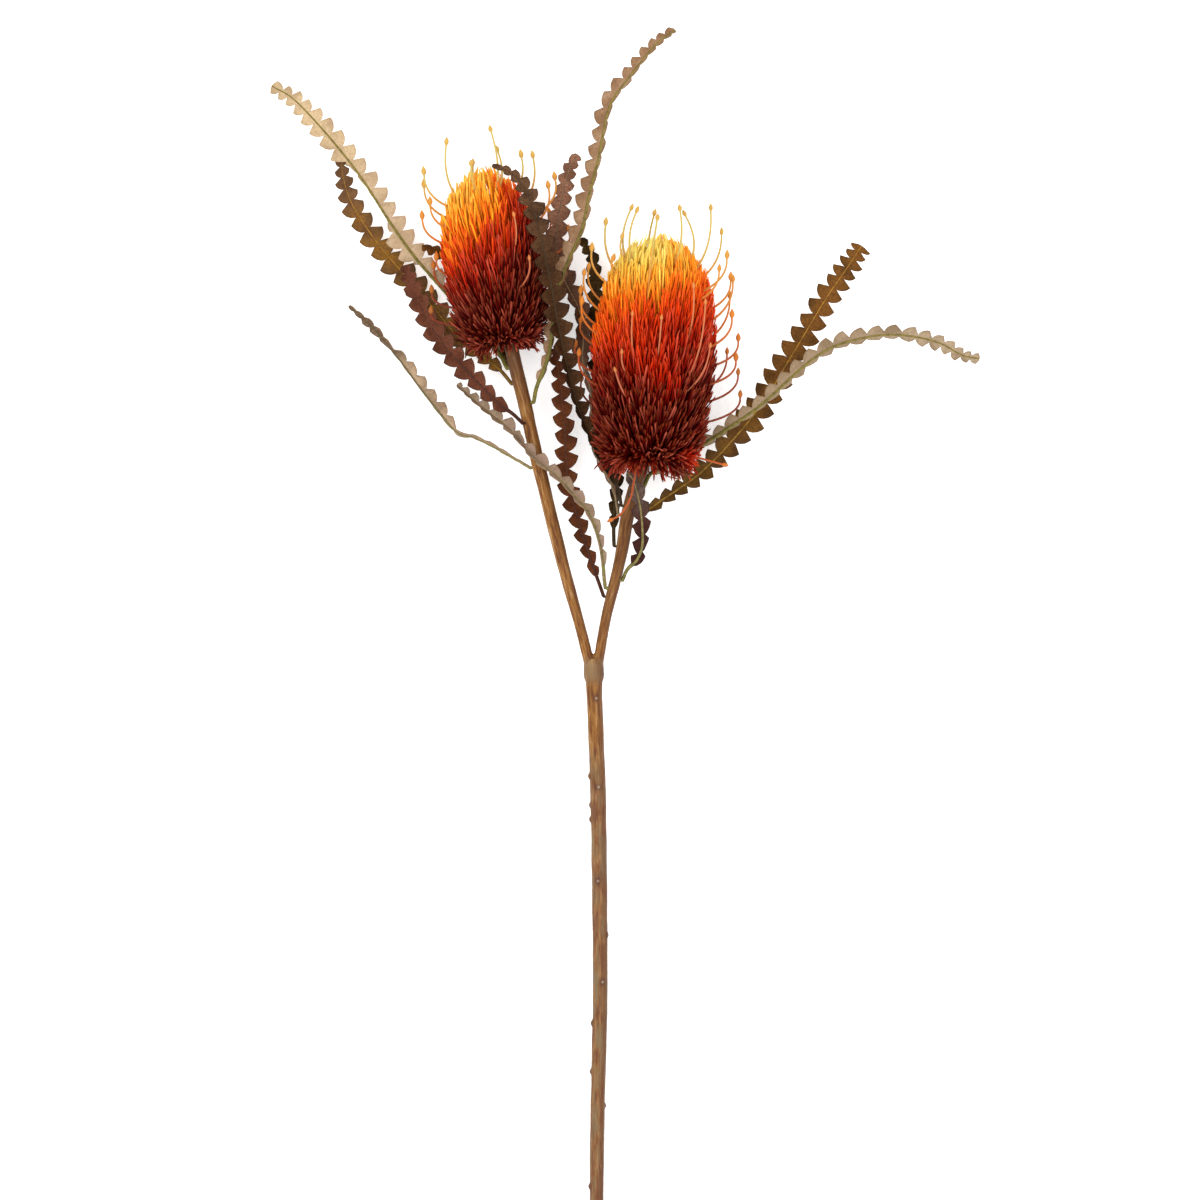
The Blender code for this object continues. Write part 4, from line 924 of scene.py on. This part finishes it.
LEAVES = [
    Leaf("leaf_far_left", LEFT_BRANCH, (144, 195),
         [(-70, 152, 16), (-79, 163, 9), (-89, 173, 10), (-99, 185, 12), (-107, 194, 14),
          (-119, 208, 18), (-130, 224, 22), (-150, 254, 30), (-179, 287, 38), (-194, 297, 40)],
         8.8, [(0, (10, -40)), (0.3, (5, -85)), (0.38, (5, -85)), (0.42, (5, -5)), (0.47, (5, -5)),
               (0.52, (5, -85)), (0.7, (8, -80)), (0.78, (10, 10)), (1, (10, 10))],
         ("beige_underside", "brown_upper", "beige_edge", "olive_rib"), 1.15, PALE_LEAF),
    Leaf("leaf_left_brown", LEFT_BRANCH, (135, 215),
         [(-69, 142, 16), (-77, 149, 10), (-87, 156, 6), (-97, 166, 4.5), (-105.5, 176.5, 4.5),
          (-115, 187.5, 5), (-125, 198.5, 7), (-135, 210, 10), (-144.5, 223, 13), (-151.5, 235, 16),
          (-155.5, 247, 19), (-157, 259, 22)],
         8.6, [(0, (15, 15)), (0.5, (10, 10)), (1, (20, 25))],
         ("tawny_upper", "beige_underside", "brown_edge", "golden_rib"), 0.8, GOLDEN_LEAF),
    Leaf("leaf_left_purple", LEFT_BRANCH, (113, 130),
         [(-62, 117.5, 32), (-68, 121.5, 33.5), (-75, 128, 33.5), (-89, 143, 30), (-102, 158, 25),
          (-113, 177, 20), (-122, 200, 16)],
         7.6, [(0, (15, 15)), (0.5, (5, 20)), (1, (25, 15))],
         ("purple_upper", "mauve_underside", "brown_edge", "purple_rib"), 0.85, PURPLE_LEAF, 0.36),
    Leaf("leaf_left_twisted", LEFT_BRANCH, (89, 200),
         [(-69, 98, 20), (-83, 105, 18), (-94, 109, 17), (-110, 128, 20), (-124, 147, 24), (-138, 164, 28),
          (-152, 177, 31)],
         6.0, [(0, (70, -70)), (0.34, (75, -75)), (0.42, (12, -80)), (0.68, (15, -80)),
               (0.76, (70, -75)), (0.86, (55, -50)), (1, (55, -50))],
         ("twisted_underside", "brown_upper", "beige_edge", "twisted_rib"), 0.95, PALE_LEAF, 0.45, 0.6),
    Leaf("leaf_left_crossing", RIGHT_BRANCH, (21, 165),
         [(-14, 45, 31), (-20, 62, 33), (-28, 72, 34), (-37, 82, 34), (-44, 88, 33), (-51, 94, 31),
          (-58, 102, 28.5), (-65, 110, 25), (-80, 122, 22), (-93, 134, 20)],
         6.8, [(0, (50, 80)), (0.2, (35, 80)), (0.45, (30, 80)), (0.62, (45, 80)), (0.68, (55, 80)),
               (0.76, (5, 80)), (0.85, (10, 80)), (1, (40, 70))],
         ("greyed_underside", "brown_upper", "beige_edge", "green_rib"), 1.1, PALE_LEAF),
    Leaf("leaf_middle_dark", RIGHT_BRANCH, (16, 205),
         [(-20, 40, 22), (-26, 59, 19), (-32, 81, 17), (-33, 103, 16), (-35, 125, 16), (-37, 142, 17),
          (-40, 154, 18)],
         6.8, [(0, (20, 20)), (0.5, (10, 10)), (1, (15, 15))],
         ("chestnut_upper", "mauve_underside", "brown_edge", "purple_rib"), 0.8, PURPLE_LEAF, 0.2),
    Leaf("leaf_centre_wide", RIGHT_BRANCH, (66, 165),
         [(-4.5, 77, 28.5), (-12, 90, 25.5), (-17, 99, 25), (-23, 113, 27), (-27, 123, 31), (-33, 146, 38),
          (-38, 172, 43), (-42, 193, 46), (-48, 219, 49), (-52, 232, 50), (-57, 243, 49), (-65, 250, 47),
          (-73, 253, 44)],
         8.6, [(0, (20, 60)), (0.2, (5, 75)), (0.42, (8, 75)), (0.55, (8, 38)), (0.85, (8, 28)),
               (1, (15, 25))],
         ("dark_upper", "mauve_underside", "dark_edge", "dark_rib"), 0.85, DARK_LEAF, 0.24, 0.35),
    Leaf("leaf_top", LEFT_BRANCH, (123, 10),
         [(-49, 132, 27), (-45, 142, 28), (-42, 152, 29), (-40, 168, 30), (-39, 180, 30), (-35, 193, 30),
          (-31, 203, 31), (-24, 219, 33), (-20, 238, 36), (-15, 257, 40), (-9, 285, 45), (2, 301, 49),
          (16, 318, 53), (27, 326, 56)],
         7.4, [(0, (-60, 10)), (0.3, (-75, 8)), (1, (-70, 10))],
         ("rosy_underside", "brown_upper", "beige_edge", "olive_rib"), 1.15, PALE_LEAF, 0.4),
    Leaf("leaf_middle_tall", RIGHT_BRANCH, (61, 190),
         [(-6.5, 77, 21), (-13, 89, 15.5), (-17, 99, 14), (-18.4, 111, 13), (-18.4, 125, 12),
          (-19.5, 134, 12), (-22, 142, 12), (-23.4, 150, 12), (-23.4, 161, 12.5), (-26, 176, 13),
          (-30, 184, 13.5), (-34, 193, 15), (-38, 210, 17), (-36, 232, 22), (-31, 252, 28),
          (-26, 260, 31)],
         7.6, [(0, (60, -60)), (0.42, (75, -75)), (0.5, (10, 60)), (0.62, (10, 70)), (0.7, (10, 10)),
               (1, (10, 15))],
         ("pinkish_underside", "olive_upper", "brown_edge", "mauve_rib"), 0.9, GOLDEN_LEAF, 0.42),
    Leaf("leaf_behind_large", RIGHT_BRANCH, (44, 200),
         [(-6.5, 54, 20), (-6, 67, 14), (-5, 77, 9), (-6, 92, 4.5), (-11, 125, 3.5), (-15, 153, 4),
          (-16, 180, 8), (-18, 204, 16), (-22, 210, 19), (-24, 215, 22)],
         6.6, [(0, (25, 25)), (0.3, (6, 6)), (0.7, (5, 15)), (1, (30, 20))],
         ("olive_upper", "mauve_underside", "dark_edge", "dark_rib"), 0.8, GOLDEN_LEAF, 0.4),
    Leaf("leaf_curled", RIGHT_BRANCH, (27, 30),
         [(1, 32, 33), (6, 37, 35), (9, 45, 37), (9, 56, 39), (8, 66, 40), (6, 75, 40), (4, 81, 41),
          (1, 85, 43)],
         6.0, [(0, (35, 35)), (0.35, (-60, 15)), (0.6, (-20, 10)), (1, (5, 5))],
         ("dusky_underside", "purple_upper", "brown_edge", "green_rib"), 0.95, PURPLE_LEAF),
    Leaf("leaf_right_golden", RIGHT_BRANCH, (56, -10),
         [(11, 63, 28), (17, 68, 26), (30, 77, 20), (42, 86, 15), (57, 101, 11.5), (75, 123, 10.5),
          (93, 152, 13.5), (111, 182, 20), (120, 195, 24.5), (130, 210, 30)],
         9.5, [(0, (50, 50)), (0.2, (15, 15)), (0.4, (8, 8)), (1, (12, 12))],
         ("golden_upper", "beige_underside", "brown_edge", "golden_rib"), 0.8, GOLDEN_LEAF, 0.26, 1.5),
    Leaf("leaf_right_arched", RIGHT_BRANCH, (79, -25),
         [(13.5, 84.5, 23), (20, 88, 16), (29, 93.5, 10.5), (44, 102, 13), (58, 111, 21.5), (75, 123, 26),
          (97, 143, 28), (111, 153, 29), (125, 158, 31), (142, 161, 32), (159, 160, 31), (174, 156, 30),
          (185, 150, 28), (195, 148, 26)],
         7.0, [(0, (-30, 30)), (0.3, (-70, 25)), (0.8, (-60, 25)), (0.92, (-20, 18)), (1, (-10, 15))],
         ("grey_underside", "olive_upper", "beige_edge", "olive_rib"), 1.2, PALE_LEAF),
    Leaf("leaf_behind_small", LEFT_BRANCH, (139, 250),
         [(-67, 150, 13), (-74, 164, 5.5), (-80, 177, 4), (-85.5, 189, 4.5), (-91.5, 199, 7.5),
          (-99.5, 206.5, 14), (-112, 210.5, 25)],
         6.5, [(0, (5, 5)), (0.6, (10, 10)), (1, (70, 12))],
         ("golden_upper", "beige_underside", "brown_edge", "golden_rib"), 0.7, GOLDEN_LEAF, 0.4),
]


class Head:
    """A flower head: its axis, its radius and outline, and its florets' roots, count and colours. Shares run
    from its base, 0, to its tip, 1, and florets that droop below the base are at shares under 0. The sway is
    how much less ripe its right side is, and the spread how unevenly ripe neighbours are."""

    def __init__(self, base, tip, radius, outline, roots, root_fill, count, seed, sway, spread, tints):
        self.base, self.tip, self.radius, self.outline = Vector(base), Vector(tip), radius, outline
        self.roots, self.root_fill, self.count, self.seed = roots, root_fill, count, seed
        self.sway, self.spread, self.tints = sway, spread, tints
        self.run = (self.tip - self.base).normalized()
        self.length = (self.tip - self.base).length

    def outward(self, around):
        return way_out(self.run, around)

    def body(self, share):
        return self.radius * between(self.outline, share)

    def core(self, share):
        return self.body(share) * between(CORE_FILL, share)

    def place(self, share, around, out):
        return self.base.lerp(self.tip, share) + self.outward(around) * out


# Outlines are (share, share of the radius). Roots are (share of a floret's tip, share of its root). Tints say
# where the colour is riper or less ripe: (share, angle round the head, by how much)
LARGE_HEAD = Head(
    (12, 90.9, 29.2), (19, 214, 33.2), 34.3,
    outline=[
        (-0.057, 0.7), (-0.03, 0.85), (0.03, 0.91), (0.12, 0.93), (0.3, 0.97), (0.5, 1.0), (0.64, 0.96),
        (0.78, 0.88), (0.87, 0.75), (0.93, 0.56), (0.98, 0.36), (1.0, 0.12)],
    roots=[
        (-0.06, 0.045), (0.0, 0.035), (0.1, 0.025), (0.2, 0.06), (0.3, 0.13), (0.45, 0.26), (0.6, 0.38),
        (0.75, 0.50), (0.88, 0.61), (1.0, 0.70)],
    root_fill=0.72, count=4900, seed=31, sway=0.07, spread=0.04,
    tints=[
        (0.0, -12, 0.62), (0.03, 35, 0.45), (0.7, 85, -0.08), (0.5, 85, 0.07), (0.55, 175, 0.06),
        (0.84, 100, 0.05), (0.36, 70, 0.1), (0.42, 140, -0.06), (0.2, 180, -0.05), (0.2, 75, 0.08),
        (0.05, 150, 0.12), (0.06, 90, 0.12)])
SMALL_HEAD = Head(
    (-66.8, 156.8, 24.4), (-79.6, 251, 26.4), 28.2,
    outline=[
        (-0.055, 0.66), (-0.03, 0.82), (0.04, 0.9), (0.18, 0.97), (0.35, 1.0), (0.5, 0.99), (0.65, 0.97),
        (0.78, 0.88), (0.88, 0.72), (0.95, 0.52), (1.0, 0.14)],
    roots=[
        (-0.06, 0.04), (0.0, 0.025), (0.1, 0.01), (0.22, 0.02), (0.35, 0.10), (0.5, 0.21), (0.65, 0.33),
        (0.8, 0.46), (1.0, 0.64)],
    root_fill=0.6, count=2900, seed=32, sway=0.08, spread=0.1,
    tints=[
        (0.88, 35, -0.16), (0.7, 35, -0.16), (0.52, 40, -0.09), (0.62, 150, 0.07), (0.1, 30, 0.2),
        (0.05, 160, 0.14), (0.9, 150, 0.06), (0.3, 95, 0.05)])

# Styles: the root's angle round the head from its right and its share along it, and the same with the
# distance out from the axis for the knob
LARGE_STYLES = [
    (15, 0.80, 12, 1.13, 27.5), (-8, 0.78, -8, 1.03, 34), (20, 0.74, 18, 0.92, 39),
    (35, 0.70, 32, 0.86, 39), (-14, 0.66, -14, 0.83, 41.5), (8, 0.60, 6, 0.82, 41.5),
    (-20, 0.52, -20, 0.75, 43), (14, 0.50, 14, 0.66, 43), (-6, 0.42, -6, 0.56, 46.5),
    (12, 0.34, 10, 0.47, 46), (-12, 0.26, -10, 0.41, 48), (4, 0.17, 4, 0.31, 49),
    (172, 0.78, 174, 1.04, 30.5), (160, 0.84, 150, 1.11, 20), (145, 0.86, 135, 1.10, 20),
    (165, 0.74, 168, 0.92, 38), (190, 0.66, 190, 0.84, 39), (172, 0.62, 172, 0.81, 41),
    (178, 0.56, 178, 0.73, 42), (160, 0.52, 162, 0.68, 43), (194, 0.48, 192, 0.60, 42),
    (172, 0.36, 174, 0.49, 43.5), (160, 0.30, 164, 0.45, 42.5), (186, 0.20, 184, 0.34, 39),
    (150, 0.86, 148, 0.98, 25), (155, 0.80, 156, 0.88, 28), (103, 0.58, 98, 1.07, 17),
    (70, 0.84, 48, 1.12, 15), (25, 0.86, 22, 1.10, 14.5), (250, 0.86, 255, 1.10, 16),
    (50, 0.50, 56, 0.78, 35), (48, 0.33, 46, 0.71, 38), (48, 0.30, 38, 0.52, 38.5),
    (86, 0.42, 85, 0.63, 34), (111, 0.40, 112, 0.64, 34.5), (106, 0.22, 124, 0.39, 36),
    (117, 0.36, 119, 0.47, 36), (225, 0.45, 225, 0.66, 42), (318, 0.40, 318, 0.62, 42),
    (300, 0.70, 300, 0.92, 34), (240, 0.66, 240, 0.86, 38), (205, 0.30, 205, 0.50, 43),
    (335, 0.30, 335, 0.50, 45),
]
SMALL_STYLES = [
    (158, 0.80, 150, 1.17, 19.5), (70, 0.80, 50, 1.21, 13.5), (60, 0.84, 45, 1.09, 15.5),
    (20, 0.80, 18, 1.04, 24.5), (12, 0.72, 10, 1.03, 30), (5, 0.66, 3, 0.89, 40), (22, 0.60, 20, 0.84, 38),
    (172, 0.78, 172, 1.02, 31.5), (186, 0.72, 186, 0.95, 32.5), (164, 0.66, 162, 0.84, 31.5),
    (178, 0.58, 178, 0.77, 35.5), (100, 0.84, 110, 1.03, 14), (6, 0.42, 4, 0.58, 44),
    (168, 0.40, 168, 0.52, 31.5), (186, 0.22, 184, 0.34, 36), (174, 0.12, 172, 0.22, 38),
    (-8, 0.24, -6, 0.37, 42), (45, 0.28, 42, 0.44, 34), (58, 0.48, 60, 0.70, 30), (230, 0.45, 230, 0.68, 34),
    (312, 0.45, 312, 0.68, 34), (255, 0.80, 255, 1.05, 16), (205, 0.30, 205, 0.48, 34),
    (335, 0.50, 335, 0.70, 38),
]
# Styles that droop below a head: their points, thickness, ripeness at both ends, and the size of the knob
LARGE_DROOPING = [
    ([(7, 93, 44), (5.5, 85, 47.5), (4.1, 77.8, 47), (3, 71.8, 45.5), (-0.3, 65.2, 43.5), (-3.6, 61.3, 41.5),
      (-6.6, 59.7, 40)], 0.6, 0.3, 0.5, 0.8),
    ([(27, 95, 35), (38, 93.5, 37), (47, 91.3, 35), (53, 89.8, 32)], 0.6, 0.3, 0.5, 0.8),
    ([(12, 94, 46), (17, 87, 48), (23, 82.8, 47), (28.5, 81.6, 45)], 0.38, 0.02, 0.05, 0.3),
    ([(20, 94, 45), (25, 88, 47), (31, 84, 46), (35, 83.4, 44)], 0.36, 0.02, 0.05, 0.3),
]


def obstacles(names):
    """One search tree over the solids of the stem and the leaves, in metres."""
    places, polygons = [], []
    for name in names:
        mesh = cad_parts[name].data
        first = len(places)
        places.extend(vertex.co.copy() for vertex in mesh.vertices)
        polygons.extend([first + index for index in polygon.vertices] for polygon in mesh.polygons)
    return BVHTree.FromPolygons(places, polygons)


def is_clear(tree, path, reach, checks):
    """Whether a thin piece along a path stays so many millimetres clear of the stem and the leaves."""
    for start, end in zip(path, path[1:]):
        for check in range(checks + 1):
            if tree.find_nearest(start.lerp(end, check / checks) * MM)[3] < reach * MM:
                return False
    return True


def floret_shape():
    """A floret of length 1 and girth 1 along Z, closed at both ends."""
    shape = bmesh.new()
    heights = shape.verts.layers.float.new("height")
    rings = []
    for height, radius in FLORET_PROFILE:
        ring = [shape.verts.new((math.cos(turn) * radius, math.sin(turn) * radius, height))
                for turn in turns(FLORET_SIDES)]
        for vertex in ring:
            vertex[heights] = height
        rings.append(ring)
    close_rings(shape, rings)
    return new_object("floret_shape", finished_mesh("floret_shape", shape))


def even_shares(head):
    """Shares along a head, one a floret, that put the same number on every patch of its surface."""
    lowest = head.outline[0][0]
    shares = [lowest + (1 - lowest) * step / OUTLINE_STEPS for step in range(OUTLINE_STEPS + 1)]
    areas = [0.0]
    for start, end in zip(shares, shares[1:]):
        low, high = head.body(start), head.body(end)
        areas.append(areas[-1] + (low + high) * math.hypot(head.length * (end - start), high - low))
    wanted = [areas[-1] * (index + 0.5) / head.count for index in range(head.count)]
    return np.interp(wanted, areas, shares).tolist()


def head_tint(head, share, around):
    """How much riper a head's tints make the florets at a place."""
    tint = 0.0
    for tint_share, tint_around, amount in head.tints:
        turned = math.remainder(around - math.radians(tint_around), 2 * math.pi)
        tint += amount * math.exp(-((share - tint_share) / TINT_LENGTH)**2 - (turned / TINT_TURN)**2)
    return tint


def floret_points(head, tree, draw):
    """Where every floret stands on a head, as (tip share, root, facts) rows. Roots are in the core."""
    lowest = head.outline[0][0]
    rows = []
    for index, share in enumerate(even_shares(head)):
        share = min(max(share + draw.uniform(-SHARE_STRAY, SHARE_STRAY), lowest), 1.0)
        around = index * GOLDEN_ANGLE + draw.uniform(-TURN_STRAY, TURN_STRAY)
        surface = head.place(share, around, head.radius)
        patch = noise.noise(surface * PATCH_FINENESS)
        around += GATHER_TURN * noise.noise(surface * GATHER_FINENESS + GATHER_SHIFT)
        outward = head.outward(around)
        depth = FLORET_DEPTH * draw.random()**DEPTH_LEAN
        out = head.body(share) * between(BASE_PINCH, share) + FLORET_LIFT - depth + patch * PATCH_HEIGHT
        tip = head.place(share, around, max(out, FLORET_LIFT))
        root_share = between(head.roots, share) + draw.uniform(*ROOT_STRAY)
        root_around = around + draw.uniform(-ROOT_TURN_STRAY, ROOT_TURN_STRAY)
        root = head.place(root_share, root_around, head.core(root_share) * head.root_fill)
        way, length = (tip - root).normalized(), (tip - root).length
        chance, longest = between(STRAYS, share)
        if draw.random() < chance:
            length += draw.uniform(*STRAY_SPREAD) * longest
        drop = -way.z * length
        if root.z - drop < LOWEST_FLORET:
            length *= max(LEAST_LENGTH, (root.z - LOWEST_FLORET) / max(drop, 0.1))
        for shorter in FLORET_SHORTENINGS:
            if is_clear(tree, [root, root + way * (length * shorter)], CLEARANCE, FLORET_CHECKS):
                break
        else:
            continue
        belly = (outward - way * outward.dot(way)).normalized()
        belly = (belly + way.cross(belly) * draw.uniform(-BELLY_STRAY, BELLY_STRAY)).normalized()
        ripe = share + head_tint(head, share, around) - head.sway * math.cos(around)
        ripe += PATCH_RIPENESS * patch + draw.uniform(-head.spread, head.spread)
        rows.append((share, root * MM, {
            "way": tuple(way), "belly": tuple(belly), "reach": length * shorter * MM,
            "girth": draw.uniform(*FLORET_GIRTHS) * MM, "arch": draw.uniform(*FLORET_ARCHES),
            "ripe": min(max(ripe, 0.0), 1.0), "tone": draw.random()}))
    return rows


def style_path(head, around, root_share, knob_around, knob_share, knob_out):
    """An arc that leaves the head sideways, bends up towards its tip and stays above the surface."""
    start_share = min(root_share, HIGHEST_STYLE_ROOT)
    root = head.place(start_share, around, head.core(start_share) - STYLE_ROOT_DEPTH)
    knob = head.place(knob_share, knob_around, knob_out)
    bend_share = root_share + (knob_share - root_share) * BEND_SHARE
    bend = head.place(bend_share, (around + knob_around) / 2, max(knob_out, head.body(root_share)) + BEND_OUT)
    path = []
    for u in (step / STYLE_STEPS for step in range(STYLE_STEPS + 1)):
        point = root * (1 - u)**2 + bend * 2 * u * (1 - u) + knob * u**2
        point.z = max(point.z, KNOB_RADIUS + 0.1)
        path.append(point)
    return path


def style_strand(path, thickness, low_ripe, high_ripe, pale, knob_size):
    """A style's line with its thickness and colour at every point, ending in its knob."""
    strand = []
    for index, place in enumerate(path):
        share = index / (len(path) - 1)
        strand.append((place, {
            "thickness": thickness * between(STYLE_TAPER, share) * MM,
            "ripe": low_ripe + (high_ripe - low_ripe) * share, "pale": pale, "knob": 0.0}))
    onwards = (path[-1] - path[-2]).normalized()
    for part, radius in KNOB_SHAPE:
        strand.append((path[-1] + onwards * (KNOB_LENGTH * part * knob_size), {
            "thickness": radius * knob_size * MM, "ripe": high_ripe, "pale": pale, "knob": 1.0}))
    return strand


def head_styles(head, styles, drooping, tree, draw):
    """Every style of a head that stays clear of the leaves. A style is turned until it does."""
    strands = []
    for route, thickness, low_ripe, high_ripe, knob_size in drooping:
        path = smooth_points(route, STYLE_STEPS + 1)
        if is_clear(tree, path, DROOPING_CLEARANCE, STYLE_CHECKS):
            strands.append(style_strand(path, thickness, low_ripe, high_ripe, 0.0, knob_size))
    for around, root_share, knob_around, knob_share, knob_out in styles:
        for turned in STYLE_TURNS:
            path = style_path(head, math.radians(around + turned), root_share,
                              math.radians(knob_around + turned), knob_share, knob_out)
            if is_clear(tree, path, STYLE_CLEARANCE, STYLE_CHECKS):
                in_front = FRONT_ANGLES[0] < around < FRONT_ANGLES[1] and knob_share < FRONT_TOP
                thickness = FRONT_THICKNESS if in_front else SIDE_THICKNESS
                look = (FRONT_PALENESS, FRONT_KNOB) if in_front else (0.0, draw.uniform(*SIDE_KNOBS))
                strands.append(style_strand(path, thickness, root_share, knob_share, *look))
                break
    return strands


def core_piece(name, head, finish):
    """The solid middle of a head, which its florets stand on."""
    shape = bmesh.new()
    ripe = shape.verts.layers.float.new("ripe")
    rings = []
    for share in (CORE_TOP * step / CORE_STEPS for step in range(CORE_STEPS + 1)):
        radius = head.core(share)
        ring = [shape.verts.new(head.place(share, around, radius) * MM) for around in turns(CORE_SIDES)]
        for vertex in ring:
            vertex[ripe] = share + CORE_LEAD
        rings.append(ring)
    close_rings(shape, rings)
    bmesh.ops.recalc_face_normals(shape, faces=shape.faces)
    mesh = finished_mesh(name, shape)
    mesh.shade_smooth()
    mesh.materials.append(finish)
    return new_object(name, mesh)


def build_head(name, node, head, styles, drooping, stops):
    """A head's lower and upper florets, its styles and its core. The florets stand for the solid."""
    draw = random.Random(head.seed)
    floret = floret_shape()
    rows = floret_points(head, solids, draw)
    finish = floret_finish(name + "_florets", *stops)
    pieces = []
    for part, lowest, highest in (("lower", -1.0, UPPER_FLORETS), ("upper", UPPER_FLORETS, 2.0)):
        _, roots, facts = zip(*[row for row in rows if lowest <= row[0] < highest])
        points = marked_mesh("floret_points", roots, [], facts)
        florets = grow(f"{name}_{part}_florets", points, standing, Floret=floret, Finish=finish)
        keep_above_surface(florets)
        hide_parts(node)
        pieces.append(florets)
    bpy.data.objects.remove(floret, do_unlink=True)
    lines = line_mesh(name + "_style_lines", head_styles(head, styles, drooping, solids, draw))
    wires = grow(name + "_styles", lines, swept, Sides=STYLE_SIDES, Finish=style_finish(name + "_styles"))
    keep_above_surface(wires)
    pieces += [wires, core_piece(name + "_core", head, core_look)]
    for piece in pieces:
        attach(piece, "root")


def build_floor():
    shape = bmesh.new()
    bmesh.ops.create_grid(shape, x_segments=2, y_segments=2, size=TABLE_HALF_WIDTH)
    bmesh.ops.translate(shape, verts=shape.verts, vec=(0, 0, -TABLE_DEPTH * MM))
    floor = new_object("pale_table", finished_mesh("pale_table", shape))
    finish = Finish("pale_table", Roughness=0.7, Emission_Color=(1.0, 1.0, 1.0, 1.0), Emission_Strength=0.45)
    grain = finish.noise(finish.place(), 3.0, 2.0)
    finish.colour(finish.ramp(grain, [(0.3, (0.85, 0.85, 0.845)), (0.7, (0.88, 0.88, 0.875))]))
    floor.data.materials.append(finish.material)


def build_camera():
    """Looks straight down on the flower, so that the photograph's frame fits it at the heads' height."""
    data = bpy.data.cameras.new("camera")
    data.sensor_width = 36.0
    data.lens = data.sensor_width * CAMERA_HEIGHT / (PHOTO_PIXELS * PIXEL)
    data.clip_end = 50.0
    camera = new_object("camera", data)
    across, along = PHOTO_PIXELS / 2 - ORIGIN_PIXEL[0], ORIGIN_PIXEL[1] - PHOTO_PIXELS / 2
    camera.location = (across * PIXEL * MM, along * PIXEL * MM, (CAMERA_HEIGHT + FOCUS_HEIGHT) * MM)
    bpy.context.scene.camera = camera


def build_lights():
    """A bright even sky that leaves no shadows, a large soft lamp from the upper left, and a fill."""
    scene = bpy.context.scene
    scene.world = bpy.data.worlds.new("studio")
    scene.world.use_nodes = True
    sky = scene.world.node_tree.nodes["Background"].inputs
    sky["Color"].default_value = (1.0, 1.0, 1.0, 1.0)
    sky["Strength"].default_value = SKY_STRENGTH
    for name, place, size, power in LAMPS:
        data = bpy.data.lights.new(name, "AREA")
        data.shape, data.size, data.energy = "DISK", size, power
        lamp = new_object(name, data)
        lamp.location = place
        lamp.rotation_mode = "QUATERNION"
        lamp.rotation_quaternion = (LIT_PLACE - Vector(place)).to_track_quat("-Z", "Y")
    scene.view_settings.view_transform = "Standard"


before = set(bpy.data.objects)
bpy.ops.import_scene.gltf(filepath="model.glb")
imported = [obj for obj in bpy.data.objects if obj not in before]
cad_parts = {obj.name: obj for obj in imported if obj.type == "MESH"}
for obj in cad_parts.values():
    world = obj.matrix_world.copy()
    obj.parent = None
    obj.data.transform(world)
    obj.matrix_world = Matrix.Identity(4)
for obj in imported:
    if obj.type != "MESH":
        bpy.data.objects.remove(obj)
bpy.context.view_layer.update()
build_camera()
build_lights()
build_floor()

stem = build_stem()
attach(stem, "root")
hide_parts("stem")

swept, standing = swept_tree(), floret_tree()
leaf_looks = {name: leaf_face(name, *facts) for name, facts in LEAF_FACES.items()}
leaf_looks.update({name: rib_finish(name, *ends) for name, ends in RIB_COLOURS.items()})
leaf_draw = random.Random(LEAF_SEED)
for leaf in LEAVES:
    piece = build_leaf(leaf, swept, leaf_looks, leaf_draw)
    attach(piece, "root")
    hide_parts(leaf.name)

solids = obstacles(["stem"] + [leaf.name for leaf in LEAVES])
core_look = core_finish()
build_head("large_head", "head_large", LARGE_HEAD, LARGE_STYLES, LARGE_DROOPING, LARGE_LOOK)
build_head("small_head", "head_small", SMALL_HEAD, SMALL_STYLES, [], SMALL_LOOK)
